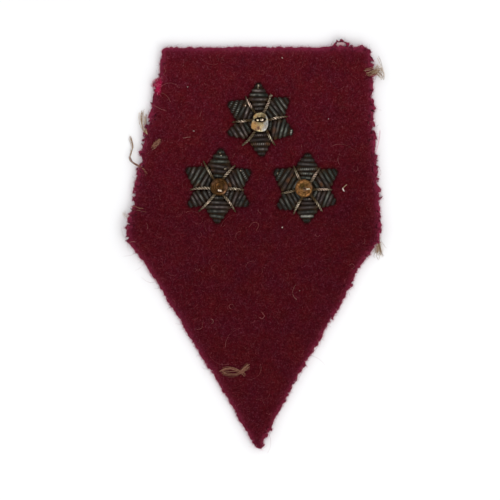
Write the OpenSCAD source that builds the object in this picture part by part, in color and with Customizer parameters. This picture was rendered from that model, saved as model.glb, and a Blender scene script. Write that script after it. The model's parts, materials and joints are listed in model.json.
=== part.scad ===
// Collar tab of crimson wool felt with three six-pointed stars of metal purl.
// Millimetres. The tab lies flat, face up: +Z out of the face, +Y towards the straight top edge,
// +X to the right. The origin is under the middle of the tab's box, on the surface it lies on.

/* [Felt tab] */
// Width across the two side corners
tab_w = 45.8; // [35:0.2:60]
// Length from the straight top edge to the point
tab_l = 71.8; // [55:0.2:90]
// Thickness of the felt
felt_t = 1.5; // [1:0.1:3]
// Width of the softened rim along the cut edge
rim_w = 0.6; // [0.3:0.1:1]
// How far the face sinks at the cut edge
rim_drop = 0.35; // [0.1:0.05:0.6]
// How far the frayed edge wanders in and out
fray = 0.16; // [0:0.02:0.3]
// Height of the frayed loop that stands out of the top edge
loop_h = 1.3; // [0.8:0.1:2]
// Half the width of that loop at its foot
loop_half = 2.0; // [1.5:0.1:3]

/* [Stars] */
// Radius of the valleys between the rays
valley_r = 4.2; // [3.6:0.1:4.6]
// Radius of the ribs of purl across a ray
rib_r = 0.38; // [0.3:0.01:0.42]
// Ribs on a ray
ribs = 6; // [4:1:6]
// Height of a ray's padding at its inner end
pad_h = 0.78; // [0.5:0.02:1]
// How much a ray slopes down to its tip, in degrees
ray_slope = 4; // [0:0.5:6]
// Radius of the bright wires in the valleys
wire_r = 0.18; // [0.12:0.01:0.22]
// Radius of the sequin in the middle
boss_r = 1.6; // [1.4:0.05:1.8]
// Height of the sequin's dome
boss_h = 0.45; // [0.35:0.05:0.6]
// Radius of the bead in the sequin
bead_r = 0.24; // [0.18:0.01:0.28]
// Clearance between neighbouring pieces
gap = 0.03; // [0.02:0.01:0.05]

/* [Hidden] */
$fn = 96;

// The tab's outline. Columns: share of the length below the top edge,
// left edge and right edge as shares of half the width.
OUTLINE = [
    [0.000, -0.690, 0.890],
    [0.008, -0.722, 0.912],
    [0.030, -0.727, 0.925],
    [0.072, -0.742, 0.934],
    [0.092, -0.788, 0.936],
    [0.130, -0.788, 0.934],
    [0.152, -0.811, 0.937],
    [0.175, -0.812, 0.936],
    [0.195, -0.841, 0.935],
    [0.232, -0.870, 0.950],
    [0.280, -0.890, 0.962],
    [0.330, -0.928, 0.968],
    [0.392, -0.960, 0.985],
    [0.432, -0.987, 0.996],
    [0.472, -1.000, 0.992],
    [0.492, -0.975, 0.975],
    [0.512, -0.925, 0.918],
    [0.531, -0.880, 0.866],
    [0.571, -0.787, 0.792],
    [0.631, -0.678, 0.708],
    [0.691, -0.557, 0.590],
    [0.751, -0.452, 0.480],
    [0.831, -0.287, 0.330],
    [0.871, -0.216, 0.268],
    [0.931, -0.107, 0.168],
    [0.971, -0.037, 0.102],
    [1.000, 0.022, 0.058]
];
OUT_DOWN = 0;
OUT_LEFT = 1;
OUT_RIGHT = 2;

// Where the tab lifts off the surface. Columns: x and y as shares of half the width and
// half the length, the height that it reaches there, and how far the lift spreads.
LIFTS = [
    [-1.00, 0.05, 1.1, 11],
    [0.92, 1.00, 0.9, 13],
    [-0.72, 1.00, 0.5, 8],
    [1.00, 0.05, 0.6, 9],
    [0.04, -1.00, 0.5, 12]
];
LIFT_X = 0;
LIFT_Y = 1;
LIFT_H = 2;
LIFT_REACH = 3;
// Lifts smaller than this lie flat
lift_floor = 0.05;

// The fray dies out towards the widest place, so that the tab keeps its width, and is
// weaker on the top edge. Each edge starts the waves at its own phase.
widest_at = 0.45;
fray_fade = 6;
top_fray = 0.7;
LEFT_PHASE = 0;
RIGHT_PHASE = 90;
TOP_PHASE = 150;
// Two waves make the frayed edge wander. Columns: wavelength, share of the fray, phase.
FRAY_WAVES = [
    [5.3, 0.6, 40],
    [3.7, 0.4, 200]
];

// The loop's place along the top edge, as a share of half the width, and the slit in it
loop_at = 0.685;
loop_slit_l = 1.5;
loop_slit_w = 0.6;
loop_slit_up = 0.35;
// How full the loop's curve is, and how far below the top edge it fades out
loop_round = 1.2;
loop_fade = 5;

// The felt's grid. Its columns draw together around the loop.
tab_rows = 48;
tab_cols = 22;
col_bunch = 0.11;
col_bunch_at = 0.78;

// The stars' centres, as shares of half the width and half the length
STAR_NAMES = ["star_top", "star_left", "star_right"];
STAR_PLACES = [
    [0.052, 0.620],
    [-0.275, 0.284],
    [0.409, 0.276]
];

// Rays, counter-clockwise from the upper one, a list for each star.
// Columns: angle, tip radius, slant of the ribs.
RAYS = [
    [[93, 6.45, -2], [153, 6.35, 3], [204, 6.25, 5], [273, 6.5, -2], [337, 6.2, 10], [36, 6.15, 0]],
    [[86, 6.75, -2], [151, 6.5, 2], [212, 6.25, -4], [268, 6.45, -2], [329, 6.2, 6], [26, 6.35, -2]],
    [[87, 6.25, 0], [151, 6.4, -3], [214, 5.95, -5], [271, 6.1, 0], [334, 5.8, 3], [30, 6.35, 0]]
];
RAY_ANGLE = 0;
RAY_TIP = 1;
RAY_SLANT = 2;

// Wires, each on the counter-clockwise side of the ray of its number.
// Columns: angle at the boss, angle at the outer end, radius of the outer end.
WIRES = [
    [[130, 122, 4.9], [187, 185, 5.0], [248, 235, 5.6], [312, 300, 5.3], [-10, 6, 4.9], [65, 67, 4.9]],
    [[121, 120, 5.3], [196, 186, 5.1], [250, 231, 5.6], [297, 304, 5.4], [-17, -7, 4.6], [65, 52, 4.9]],
    [[129, 118, 4.6], [187, 191, 4.5], [254, 244, 5.1], [306, 305, 5.0], [-9, -3, 4.7], [51, 55, 4.5]]
];
WIRE_IN = 0;
WIRE_OUT = 1;
WIRE_END = 2;
// Where a wire starts, below the boss, the heights of its two ends, and its bow between them
wire_start_r = 1.2;
wire_foot_z = 0.78;
wire_end_z = 0.26;
wire_bow = 0.28;

// Bosses, a row for each star. Columns: place on the star, extra length, height of its
// underside, radius of the dish, half the distance between the ends of the hole, the hole's
// radius and place, first and last bead.
BOSSES = [
    [[-0.05, -0.52], 0.45, 1.20, 0, 0.55, 0.42, [0, 0.40], [-0.39, 0.38], [0.37, 0.41]],
    [[0.18, 0.00], 0, 1.04, 0.9, 0, 0.32, [0, 0], [0.02, -0.50], [0.02, -0.50]],
    [[-0.38, 0.02], 0, 1.04, 0.9, 0, 0.32, [0, 0], [0.62, -0.08], [0.62, -0.08]]
];
BOSS_PLACE = 0;
BOSS_EXTRA = 1;
BOSS_Z = 2;
BOSS_DISH = 3;
BOSS_SLOT = 4;
BOSS_HOLE_R = 5;
BOSS_HOLE = 6;
BOSS_BEAD_A = 7;
BOSS_BEAD_B = 8;

// Where the first rib lies, and how far the last one stays behind the tip
first_rib_r = 1.9;
tip_rest = 0.4;
// Half the width of a ray's blunt tip
tip_half = 0.2;
// Radius of the padding's arch across a ray
arch_r = 2.6;
// How far the sequin's dome falls to its rim, and how deep its dish is
rim_sag = 0.25;
dish_deep = 0.3;
// The bead's stem, and the knee where it turns down the hole
stem_r = 0.1;
knee_r = 0.16;

top_y = (tab_l - loop_h) / 2;
half_w = tab_w / 2;
half_l = tab_l / 2;
side_gap = wire_r + gap;

// The value of a table's column at a place between two rows
function between(table, key, col, at) = lookup(at, [for (row = table) [row[key], row[col]]]);

function unit(v) = v / norm(v);
function polar(r, a) = [r * cos(a), r * sin(a)];
function left_of(v) = [-v[1], v[0]];
// The radius of an arc from half its chord and its rise
function cap_r(half, rise) = (pow(half, 2) + pow(rise, 2)) / (2 * rise);

function frayed(along, shift) = fray * wave_sum(along, shift, len(FRAY_WAVES) - 1);
function wave_sum(along, shift, i) =
    i < 0 ? 0
    : FRAY_WAVES[i][1] * sin(360 * along / FRAY_WAVES[i][0] + FRAY_WAVES[i][2] + shift)
        + wave_sum(along, shift, i - 1);

// The first and last rows lie a rim's width apart from their neighbours, the others evenly
function row_down(j) =
    j == 0 ? 0
    : j == tab_rows ? tab_l
    : rim_w + (tab_l - 2 * rim_w) * (j - 1) / (tab_rows - 2);
function fray_keep(down) = min(1, abs(down - widest_at * tab_l) / fray_fade);
function edge_x(col, down, phase) =
    half_w * between(OUTLINE, OUT_DOWN, col, down / tab_l) + frayed(down, phase) * fray_keep(down);
function edge_left(down) = edge_x(OUT_LEFT, down, LEFT_PHASE);
function edge_right(down) = edge_x(OUT_RIGHT, down, RIGHT_PHASE);
function col_share(u) =
    u - col_bunch * (sin(360 * (u - col_bunch_at)) + sin(360 * col_bunch_at));
function col_x(l, r, i) =
    let (rim = min(rim_w, (r - l) / 4))
    i == 0 ? l
    : i == tab_cols ? r
    : l + rim + (r - l - 2 * rim) * col_share((i - 1) / (tab_cols - 2));
// The loop swells the top edge. Below it the rows straighten out again
function top_swell(x, down) =
    let (u = (x - loop_at * half_w) / loop_half)
    let (ripple = frayed(x, TOP_PHASE) * top_fray)
    max(0, 1 - down / loop_fade)
        * (abs(u) < 1 ? loop_h * pow(cos(90 * u), loop_round) : min(0, ripple));
function lift_at(x, y, i) =
    let (away = norm([x - LIFTS[i][LIFT_X] * half_w, y - LIFTS[i][LIFT_Y] * half_l]))
    LIFTS[i][LIFT_H] * pow(max(0, 1 - away / LIFTS[i][LIFT_REACH]), 2);
function lift(x, y) = lift_sum(x, y, len(LIFTS) - 1) - lift_floor;
function lift_sum(x, y, i) = i < 0 ? 0 : lift_at(x, y, i) + lift_sum(x, y, i - 1);

function grid_xy(i, j) =
    let (down = row_down(j))
    let (x = col_x(edge_left(down), edge_right(down), i))
    [x, top_y - down + top_swell(x, down)];
// The middle of the tab's box, which is moved over the origin
GRID = [for (j = [0 : tab_rows]) for (i = [0 : tab_cols]) grid_xy(i, j)];
mid_x = (min([for (p = GRID) p[0]]) + max([for (p = GRID) p[0]])) / 2;
mid_y = (min([for (p = GRID) p[1]]) + max([for (p = GRID) p[1]])) / 2;
function on_rim(i, j) = i == 0 || i == tab_cols || j == 0 || j == tab_rows;

// The sheet of felt: a grid of rows from the top edge to the point, with a face, a back
// and the cut edge between them. Its back is trimmed flat where the tab lies.
module felt_sheet() {
    across = tab_cols + 1;
    back = across * (tab_rows + 1);
    face_points = [
        for (j = [0 : tab_rows])
            for (i = [0 : tab_cols])
                let (p = GRID[j * across + i])
                [p[0], p[1], felt_t + max(0, lift(p[0], p[1])) - (on_rim(i, j) ? rim_drop : 0)]
    ];
    back_points = [for (p = GRID) [p[0], p[1], lift(p[0], p[1])]];
    cells = [for (j = [0 : tab_rows - 1]) for (i = [0 : tab_cols - 1]) j * across + i];
    face_cells = [for (c = cells) each [[c, c + 1, c + across + 1], [c, c + across + 1, c + across]]];
    back_cells = [for (f = face_cells) [f[2] + back, f[1] + back, f[0] + back]];
    left_edge = [for (j = [0 : tab_rows - 1]) [j * across, (j + 1) * across]];
    right_edge = [for (j = [0 : tab_rows - 1]) [(j + 1) * across + tab_cols, j * across + tab_cols]];
    top_edge = [for (i = [0 : tab_cols - 1]) [i + 1, i]];
    point_edge = [for (i = [0 : tab_cols - 1]) [tab_rows * across + i, tab_rows * across + i + 1]];
    edges = concat(left_edge, right_edge, top_edge, point_edge);
    edge_cells = [for (e = edges) each [[e[0], e[1], e[1] + back], [e[0], e[1] + back, e[0] + back]]];
    polyhedron(points = concat(face_points, back_points),
        faces = concat(face_cells, back_cells, edge_cells), convexity = 6);
}

module felt_tab() {
    color("#7a1626")
        difference() {
            intersection() {
                felt_sheet();
                translate([-tab_w, -tab_l, 0])
                    cube([2 * tab_w, 2 * tab_l, 4 * felt_t]);
            }
            translate([loop_at * half_w, top_y + loop_slit_up, -felt_t])
                linear_extrude(height = 4 * felt_t)
                    slot(loop_slit_l / 2 - loop_slit_w / 2, loop_slit_w / 2);
        }
}

// A flat slot along X: half the distance between its end centres, and its radius
module slot(half, r) {
    translate([-half, 0])
        circle(r = r);
    translate([half, 0])
        circle(r = r);
    if (half > 0)
        translate([-half, -r])
            square([2 * half, 2 * r]);
}

// Turns what points up +Z so that it points from one place to another
module from_to(a, b) {
    d = b - a;
    translate(a)
        rotate([0, acos(d[2] / norm(d)), atan2(d[1], d[0])])
            children();
}

// A straight round rod between two points
module rod(a, b, r) {
    from_to(a, b)
        cylinder(r = r, h = norm(b - a));
}

// Two beads with a stem between them, turned in one piece
module twin_beads(apart) {
    rotate_extrude()
        intersection() {
            union() {
                circle(r = bead_r);
                translate([0, apart])
                    circle(r = bead_r);
                square([stem_r, apart]);
            }
            translate([0, -bead_r])
                square([bead_r, apart + 2 * bead_r]);
        }
}

// A round wire that bows upwards along X, its ends at the height of the origin
module bowed_wire(chord, bow, r) {
    bow_r = cap_r(chord / 2, bow);
    half_turn = asin(chord / 2 / bow_r);
    translate([0, 0, -bow_r * cos(half_turn)])
        rotate([90, 0, 0])
            rotate([0, 0, 90 - half_turn])
                rotate_extrude(angle = 2 * half_turn)
                    translate([bow_r, 0])
                        circle(r = r);
}

function wire_foot(s, k) = polar(wire_start_r, WIRES[s][k][WIRE_IN]);
function wire_end(s, k) = polar(WIRES[s][k][WIRE_END], WIRES[s][k][WIRE_OUT]);
function wire_side(s, k) = side_gap * left_of(unit(wire_end(s, k) - wire_foot(s, k)));
function wire_valley(s, k) =
    let (far = min(valley_r, WIRES[s][k][WIRE_END] - 0.3))
    let (share = (far - wire_start_r) / (WIRES[s][k][WIRE_END] - wire_start_r))
    wire_foot(s, k) + share * (wire_end(s, k) - wire_foot(s, k));

// A ray's plan: between its two wires, out to the valleys and on to the tip
function ray_plan(s, k) =
    let (cw = (k + 5) % 6)
    let (tip = polar(RAYS[s][k][RAY_TIP], RAYS[s][k][RAY_ANGLE]))
    let (tip_side = tip_half * left_of(unit(tip)))
    [
        wire_foot(s, cw) + wire_side(s, cw),
        wire_valley(s, cw) + wire_side(s, cw),
        tip - tip_side,
        tip + tip_side,
        wire_valley(s, k) - wire_side(s, k),
        wire_foot(s, k) - wire_side(s, k)
    ];

// The padding and the ribs of purl over it, as one arch along the ray
module ribbed_arch(tip_r) {
    rib_pitch = (tip_r - tip_rest - first_rib_r) / (ribs - 1);
    rotate([0, 90, 0])
        rotate_extrude() {
            square([arch_r, tip_r + 1]);
            for (i = [0 : ribs - 1])
                translate([arch_r, first_rib_r + i * rib_pitch])
                    circle(r = rib_r);
        }
}

module ray(s, k) {
    color("#5d5e52")
        intersection() {
            linear_extrude(height = pad_h + 2 * rib_r)
                polygon(ray_plan(s, k));
            rotate([0, 0, RAYS[s][k][RAY_ANGLE] + RAYS[s][k][RAY_SLANT]])
                translate([0, 0, pad_h - arch_r])
                    rotate([0, ray_slope, 0])
                        ribbed_arch(RAYS[s][k][RAY_TIP]);
        }
}

module wire(s, k) {
    foot = wire_foot(s, k);
    run = wire_end(s, k) - foot;
    drop = wire_foot_z - wire_end_z;
    color("#c9bfb0")
        translate([foot[0] + run[0] / 2, foot[1] + run[1] / 2, wire_foot_z - drop / 2])
            rotate([0, atan2(drop, norm(run)), atan2(run[1], run[0])])
                bowed_wire(norm([norm(run), drop]), wire_bow, wire_r);
}

// The sequin: a low dome with a dish and a hole in it
module boss(s) {
    row = BOSSES[s];
    extra = row[BOSS_EXTRA] / 2;
    dome_r = cap_r(boss_r, rim_sag);
    dish_r = cap_r(row[BOSS_DISH], dish_deep);
    color(extra > 0 ? "#cdbf9a" : "#b5813c")
        translate([row[BOSS_PLACE][0], row[BOSS_PLACE][1], row[BOSS_Z]])
            difference() {
                intersection() {
                    linear_extrude(height = 2 * boss_h)
                        rotate([0, 0, 90])
                            slot(extra, boss_r);
                    translate([0, 0, boss_h - dome_r])
                        sphere(r = dome_r);
                }
                if (row[BOSS_DISH] > 0)
                    translate([0, 0, boss_h - dish_deep + dish_r])
                        sphere(r = dish_r);
                translate([row[BOSS_HOLE][0], row[BOSS_HOLE][1], -boss_h])
                    linear_extrude(height = 3 * boss_h)
                        slot(row[BOSS_SLOT], row[BOSS_HOLE_R]);
            }
}

// Height of the sequin's face at a distance from its middle
function boss_face(s, out) =
    let (dish_r = cap_r(BOSSES[s][BOSS_DISH], dish_deep))
    BOSSES[s][BOSS_DISH] > 0 ? boss_h - dish_deep + dish_r - sqrt(pow(dish_r, 2) - pow(out, 2)) : 0;

// The purl chip in the hole: two beads on a stem, or one bead whose stem goes down the hole
module bead(s) {
    row = BOSSES[s];
    bead_z = boss_face(s, norm(row[BOSS_BEAD_A])) + bead_r + gap;
    first = [row[BOSS_BEAD_A][0], row[BOSS_BEAD_A][1], bead_z];
    last = [row[BOSS_BEAD_B][0], row[BOSS_BEAD_B][1], bead_z];
    knee = [row[BOSS_HOLE][0], row[BOSS_HOLE][1], bead_z];
    color("#e8e0d2")
        translate([row[BOSS_PLACE][0], row[BOSS_PLACE][1], row[BOSS_Z]]) {
            if (first != last) {
                from_to(first, last)
                    twin_beads(norm(last - first));
            } else {
                translate(first)
                    sphere(r = bead_r);
                translate(knee)
                    sphere(r = knee_r);
                rod(first, knee, stem_r);
                rod([knee[0], knee[1], 0], knee, stem_r);
            }
        }
}

module centred() {
    translate([-mid_x, -mid_y, 0])
        children();
}

module at_star(s) {
    centred()
        translate([STAR_PLACES[s][0] * half_w, STAR_PLACES[s][1] * half_l, felt_t + gap])
            children();
}

centred() felt_tab();
for (s = [0 : len(STAR_NAMES) - 1]) {
    for (k = [0 : 5]) {
        at_star(s) ray(s, k);
        at_star(s) wire(s, k);
    }
    at_star(s) boss(s);
    at_star(s) bead(s);
}
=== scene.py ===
# %% [markdown]
# # A collar tab of crimson felt with three embroidered stars
# The real thing is a five-sided patch that was cut from milled wool cloth with scissors, and
# three small six-pointed stars that were stitched on it in metal purl: wire wound into a
# soft spring, cut to length and laid over a padding of thread. It has been worn for years,
# so the silver has gone dark, and the cut edges of the cloth have gone fluffy.
# The solids of the tab are measured already. They are loaded first and never changed, and
# every piece made below goes exactly where its solid is.

# %% Load the measured solids
import json
import math
import random

import bmesh
import bpy
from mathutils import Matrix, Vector, kdtree

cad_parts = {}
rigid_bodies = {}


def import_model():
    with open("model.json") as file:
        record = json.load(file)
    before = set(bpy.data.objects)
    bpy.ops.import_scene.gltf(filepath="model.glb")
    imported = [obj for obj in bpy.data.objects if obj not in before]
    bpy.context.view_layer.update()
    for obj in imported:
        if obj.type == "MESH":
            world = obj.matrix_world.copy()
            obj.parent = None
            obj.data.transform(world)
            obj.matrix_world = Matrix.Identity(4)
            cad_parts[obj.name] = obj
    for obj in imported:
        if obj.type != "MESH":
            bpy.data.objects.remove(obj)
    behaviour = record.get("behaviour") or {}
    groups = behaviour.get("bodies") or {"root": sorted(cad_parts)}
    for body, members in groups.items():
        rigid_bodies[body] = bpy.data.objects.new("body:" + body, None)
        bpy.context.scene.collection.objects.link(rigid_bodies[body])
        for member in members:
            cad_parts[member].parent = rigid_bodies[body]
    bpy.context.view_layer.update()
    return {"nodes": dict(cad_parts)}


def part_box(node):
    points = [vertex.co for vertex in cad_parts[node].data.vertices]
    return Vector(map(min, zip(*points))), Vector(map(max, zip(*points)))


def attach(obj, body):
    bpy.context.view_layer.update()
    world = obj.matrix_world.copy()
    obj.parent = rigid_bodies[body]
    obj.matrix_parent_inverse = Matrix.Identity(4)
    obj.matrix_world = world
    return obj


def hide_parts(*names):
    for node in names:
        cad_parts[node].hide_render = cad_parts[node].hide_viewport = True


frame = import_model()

MM = 0.001

# %% [markdown]
# ## The camera, the floor and the light
# The tab was photographed from straight above on a white table under soft lamps. A long
# lens high above the table keeps the perspective as flat as it is there. The floor is a
# plain sheet. Most of the light comes from all round, as in a light tent, and one wide soft
# lamp low on the right leaves a thin shade on the upper left.

# %% Camera
CAMERA_HEIGHT = 600 * MM
VIEW_WIDTH = 89.5 * MM
VIEW_MIDDLE = (-0.66 * MM, -1.09 * MM)
FELT_FACE = 1.5 * MM

bpy.ops.object.camera_add(location=(*VIEW_MIDDLE, CAMERA_HEIGHT), rotation=(0, 0, 0))
camera = bpy.context.object
camera.name = "camera_above"
camera.data.sensor_width = 36
camera.data.lens = camera.data.sensor_width * (CAMERA_HEIGHT - FELT_FACE) / VIEW_WIDTH
camera.data.clip_start = 10 * MM
camera.data.clip_end = 20
bpy.context.scene.camera = camera
bpy.context.scene.view_settings.view_transform = "Standard"
print("lens in mm:", round(camera.data.lens, 1))

# %% Lamp and sky
LAMP_PLACE = (0.34, -0.38, 0.52)
LAMP_SIZE = 0.40
LAMP_WATTS = 1.3
SKY_COLOUR = (0.985, 0.988, 1.0, 1)

aim = Vector(LAMP_PLACE).to_track_quat("Z", "Y").to_euler()
bpy.ops.object.light_add(type="AREA", location=LAMP_PLACE, rotation=aim)
lamp = bpy.context.object
lamp.name = "lamp_key"
lamp.data.size = LAMP_SIZE
lamp.data.energy = LAMP_WATTS

sky = bpy.data.worlds.new("studio")
sky.use_nodes = True
sky.node_tree.nodes["Background"].inputs["Color"].default_value = SKY_COLOUR
sky.node_tree.nodes["Background"].inputs["Strength"].default_value = 1.0
bpy.context.scene.world = sky
print("lamp:", lamp.name, LAMP_WATTS, "watts")

# %% [markdown]
# ## Helpers for working as by hand
# Every operator acts on what is selected, so a piece is always picked alone before it is
# worked on. Modifiers are added and applied, as one would in the window.

# %% Pick, apply, join, count and keep
def deselect_all():
    if bpy.context.object and bpy.context.object.mode != "OBJECT":
        bpy.ops.object.mode_set(mode="OBJECT")
    bpy.ops.object.select_all(action="DESELECT")


def pick(*pieces):
    """Selects only these pieces. The first one is the active one."""
    deselect_all()
    for piece in pieces:
        piece.select_set(True)
    bpy.context.view_layer.objects.active = pieces[0]


def apply_modifiers(piece):
    pick(piece)
    for modifier in list(piece.modifiers):
        bpy.ops.object.modifier_apply(modifier=modifier.name)


def place_in_mesh(piece):
    """Leaves the object at the origin, unturned and unscaled."""
    pick(piece)
    bpy.ops.object.transform_apply(location=True, rotation=True, scale=True)


def join(pieces, name):
    pick(*pieces)
    if len(pieces) > 1:
        bpy.ops.object.join()
    whole = bpy.context.object
    whole.name = whole.data.name = name
    return whole


def triangles(piece):
    return sum(len(face.vertices) - 2 for face in piece.data.polygons)


def keep(piece, name, values):
    """Keeps a value for each point of a piece, as an attribute that materials can read."""
    piece.data.attributes.new(name, "FLOAT", "POINT").data.foreach_set("value", values)


# %% Node helpers for materials
def node(tree, kind, inputs=None, **settings):
    """Adds a node. Its inputs are given as values or as the sockets that feed them."""
    made = tree.nodes.new(kind)
    for name, value in settings.items():
        setattr(made, name, value)
    for name, value in (inputs or {}).items():
        if isinstance(value, bpy.types.NodeSocket):
            tree.links.new(value, made.inputs[name])
        else:
            made.inputs[name].default_value = value
    return made


def mix(tree, factor, a, b, blend="MIX"):
    """A Mix node for colours, which names its sockets by number."""
    made = node(tree, "ShaderNodeMix", data_type="RGBA", blend_type=blend)
    for slot, value in ((0, factor), (6, a), (7, b)):
        if isinstance(value, bpy.types.NodeSocket):
            tree.links.new(value, made.inputs[slot])
        else:
            made.inputs[slot].default_value = value
    return made.outputs[2]


def maths(tree, operation, a, b=0.0, clamp=False):
    return node(tree, "ShaderNodeMath", {0: a, 1: b}, operation=operation, use_clamp=clamp).outputs[0]


def spread(tree, value, low, high, to_low=0.0, to_high=1.0):
    """Stretches a range of values to another one, and cuts off what lies outside."""
    return node(tree, "ShaderNodeMapRange", {
        "Value": value, "From Min": low, "From Max": high, "To Min": to_low, "To Max": to_high,
    }).outputs[0]


COLOUR, NUMBER = "NodeSocketColor", "NodeSocketFloat"


def new_group(name, takes, gives):
    """An empty shader group. Returns it with its inner input and output sockets by name."""
    group = bpy.data.node_groups.new(name, "ShaderNodeTree")
    for label, kind in takes.items():
        group.interface.new_socket(label, in_out="INPUT", socket_type=kind)
    for label, kind in gives.items():
        group.interface.new_socket(label, in_out="OUTPUT", socket_type=kind)
    return group, node(group, "NodeGroupInput").outputs, node(group, "NodeGroupOutput").inputs


def attribute(tree, name):
    return node(tree, "ShaderNodeAttribute", attribute_name=name).outputs["Fac"]


def tint(tree, colour, share):
    """Makes a colour lighter or darker by a share that varies over the surface."""
    grey = node(tree, "ShaderNodeCombineColor", {0: share, 1: share, 2: share}).outputs[0]
    return mix(tree, 1.0, colour, grey, "MULTIPLY")


def new_material(name):
    material = bpy.data.materials.new(name)
    material.use_nodes = True
    tree = material.node_tree
    return material, tree, tree.nodes["Principled BSDF"]


def dress(piece, material):
    piece.data.materials.clear()
    piece.data.materials.append(material)


# %% Floor
FLOOR_WIDTH = 4.0
# The floor lies this much under the tab, so that the two never touch
FLOOR_GAP = 0.02 * MM
bpy.ops.mesh.primitive_plane_add(size=FLOOR_WIDTH, location=(0, 0, -FLOOR_GAP))
floor = bpy.context.object
floor.name = "floor"
place_in_mesh(floor)
white, tree, paper = new_material("white_table")
grain = node(tree, "ShaderNodeTexNoise", {
    "Vector": node(tree, "ShaderNodeTexCoord").outputs["Object"], "Scale": 60.0, "Detail": 3.0})
tree.links.new(mix(tree, grain.outputs["Fac"], (0.90, 0.90, 0.90, 1), (0.93, 0.93, 0.93, 1)),
               paper.inputs["Base Color"])
paper.inputs["Roughness"].default_value = 0.8
dress(floor, white)
print("floor:", FLOOR_WIDTH, "m wide")

# %% [markdown]
# ## The wool
# Milled felt is a mat of crimped fibres that point every way. Close up it shows short
# crossing streaks, a little lighter or darker than their neighbours, and small pits.
# One node group makes this mat out of stretched noise, turned three ways. It puts out masks
# alone, and the material of the cloth turns them into colours and bumps.

# %% Shader group: fibre mat
mat_group, takes, gives = new_group(
    "fibre_mat", {"Size": NUMBER}, {"Mask": NUMBER, "Pale": NUMBER, "Blotches": NUMBER, "Drift": NUMBER})
place = node(mat_group, "ShaderNodeTexCoord").outputs["Object"]
pitch = maths(mat_group, "DIVIDE", 1000.0, takes["Size"])
STREAK_TURNS = (0.3, 1.35, 2.45)


def streaks(tree, vector, scale, slimness):
    """Three fields of stretched noise, each turned its own way. The brightest wins."""
    brightest = None
    for turn in STREAK_TURNS:
        turned = node(tree, "ShaderNodeMapping", {
            "Vector": vector, "Rotation": (0.2, 0.1, turn), "Scale": (1.0, slimness, 1.0)},
            vector_type="TEXTURE")
        field = node(tree, "ShaderNodeTexNoise", {
            "Vector": turned.outputs[0], "Scale": scale, "Detail": 2.0, "Roughness": 0.6}).outputs["Fac"]
        brightest = field if brightest is None else maths(tree, "MAXIMUM", brightest, field)
    return brightest


coarse = spread(mat_group, streaks(mat_group, place, pitch, 5.0), 0.48, 0.74)
fine = streaks(mat_group, place, maths(mat_group, "MULTIPLY", pitch, 3.0), 8.0)
crumbs = node(mat_group, "ShaderNodeTexNoise", {
    "Vector": place, "Scale": maths(mat_group, "MULTIPLY", pitch, 1.6),
    "Detail": 4.0, "Roughness": 0.7}).outputs["Fac"]
both = maths(mat_group, "ADD", spread(mat_group, crumbs, 0.3, 0.7), coarse)
both = maths(mat_group, "ADD", both, spread(mat_group, fine, 0.45, 0.75))
mat_group.links.new(maths(mat_group, "MULTIPLY", both, 0.333), gives["Mask"])
mat_group.links.new(spread(mat_group, fine, 0.60, 0.74), gives["Pale"])

# Slow changes over the cloth: one of brightness and one of hue.
slow = node(mat_group, "ShaderNodeTexNoise", {
    "Vector": place, "Scale": maths(mat_group, "DIVIDE", pitch, 9.0), "Detail": 3.0}).outputs["Color"]
slow = node(mat_group, "ShaderNodeSeparateColor", {0: slow}).outputs
mat_group.links.new(spread(mat_group, slow[0], 0.35, 0.65), gives["Blotches"])
mat_group.links.new(spread(mat_group, slow[1], 0.35, 0.65), gives["Drift"])
print("group fibre_mat:", len(mat_group.nodes), "nodes")

# %% [markdown]
# ## The colour of the cloth
# The face is painted lighter towards the top, as painted light, and it is a little lighter towards
# the left. Where scissors cut the cloth, its fresh inside is brighter than the worn face, most of
# all along the upper edges. The pieces carry values for this, such as "cut_edge", which are worked
# out below, and the material mixes its colours by them.

# %% Material: crimson felt
FELT_DARK = (0.026, 0.0008, 0.0022, 1)
FELT_LIGHT = (0.084, 0.0046, 0.0094, 1)
FELT_PALE = (0.26, 0.090, 0.115, 1)
FELT_BROWNER = (1.04, 1.05, 0.86, 1)
FELT_BLUER = (0.96, 0.95, 1.14, 1)
FELT_CUT = (0.215, 0.0230, 0.0560, 1)
FELT_PAINTED_SHADE = (0.010, 0.0030, 0.0030, 1)
FELT_TUFT = (0.42, 0.008, 0.060, 1)
# The cut wall is painted brighter, as painted light glowing through the thin edge.
FELT_WALL_GLOW = (0.20, 0.020, 0.045, 1)
# Painted light: the face gets lighter upwards between two heights, and a little lighter leftwards from the
# middle line to one side.
PAINTED_LIGHT_FROM, PAINTED_LIGHT_TO, PAINTED_LIGHT_UP = 6 * MM, 34 * MM, 1.36
LIGHTER_SIDE, LIGHTER_LEFT = 18 * MM, 1.10
# Round the middle of the tab the cut edge goes from its lower, duller look to its upper one.
DULL_CUT_HALF, DULL_CUT = 4 * MM, 0.66


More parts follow.
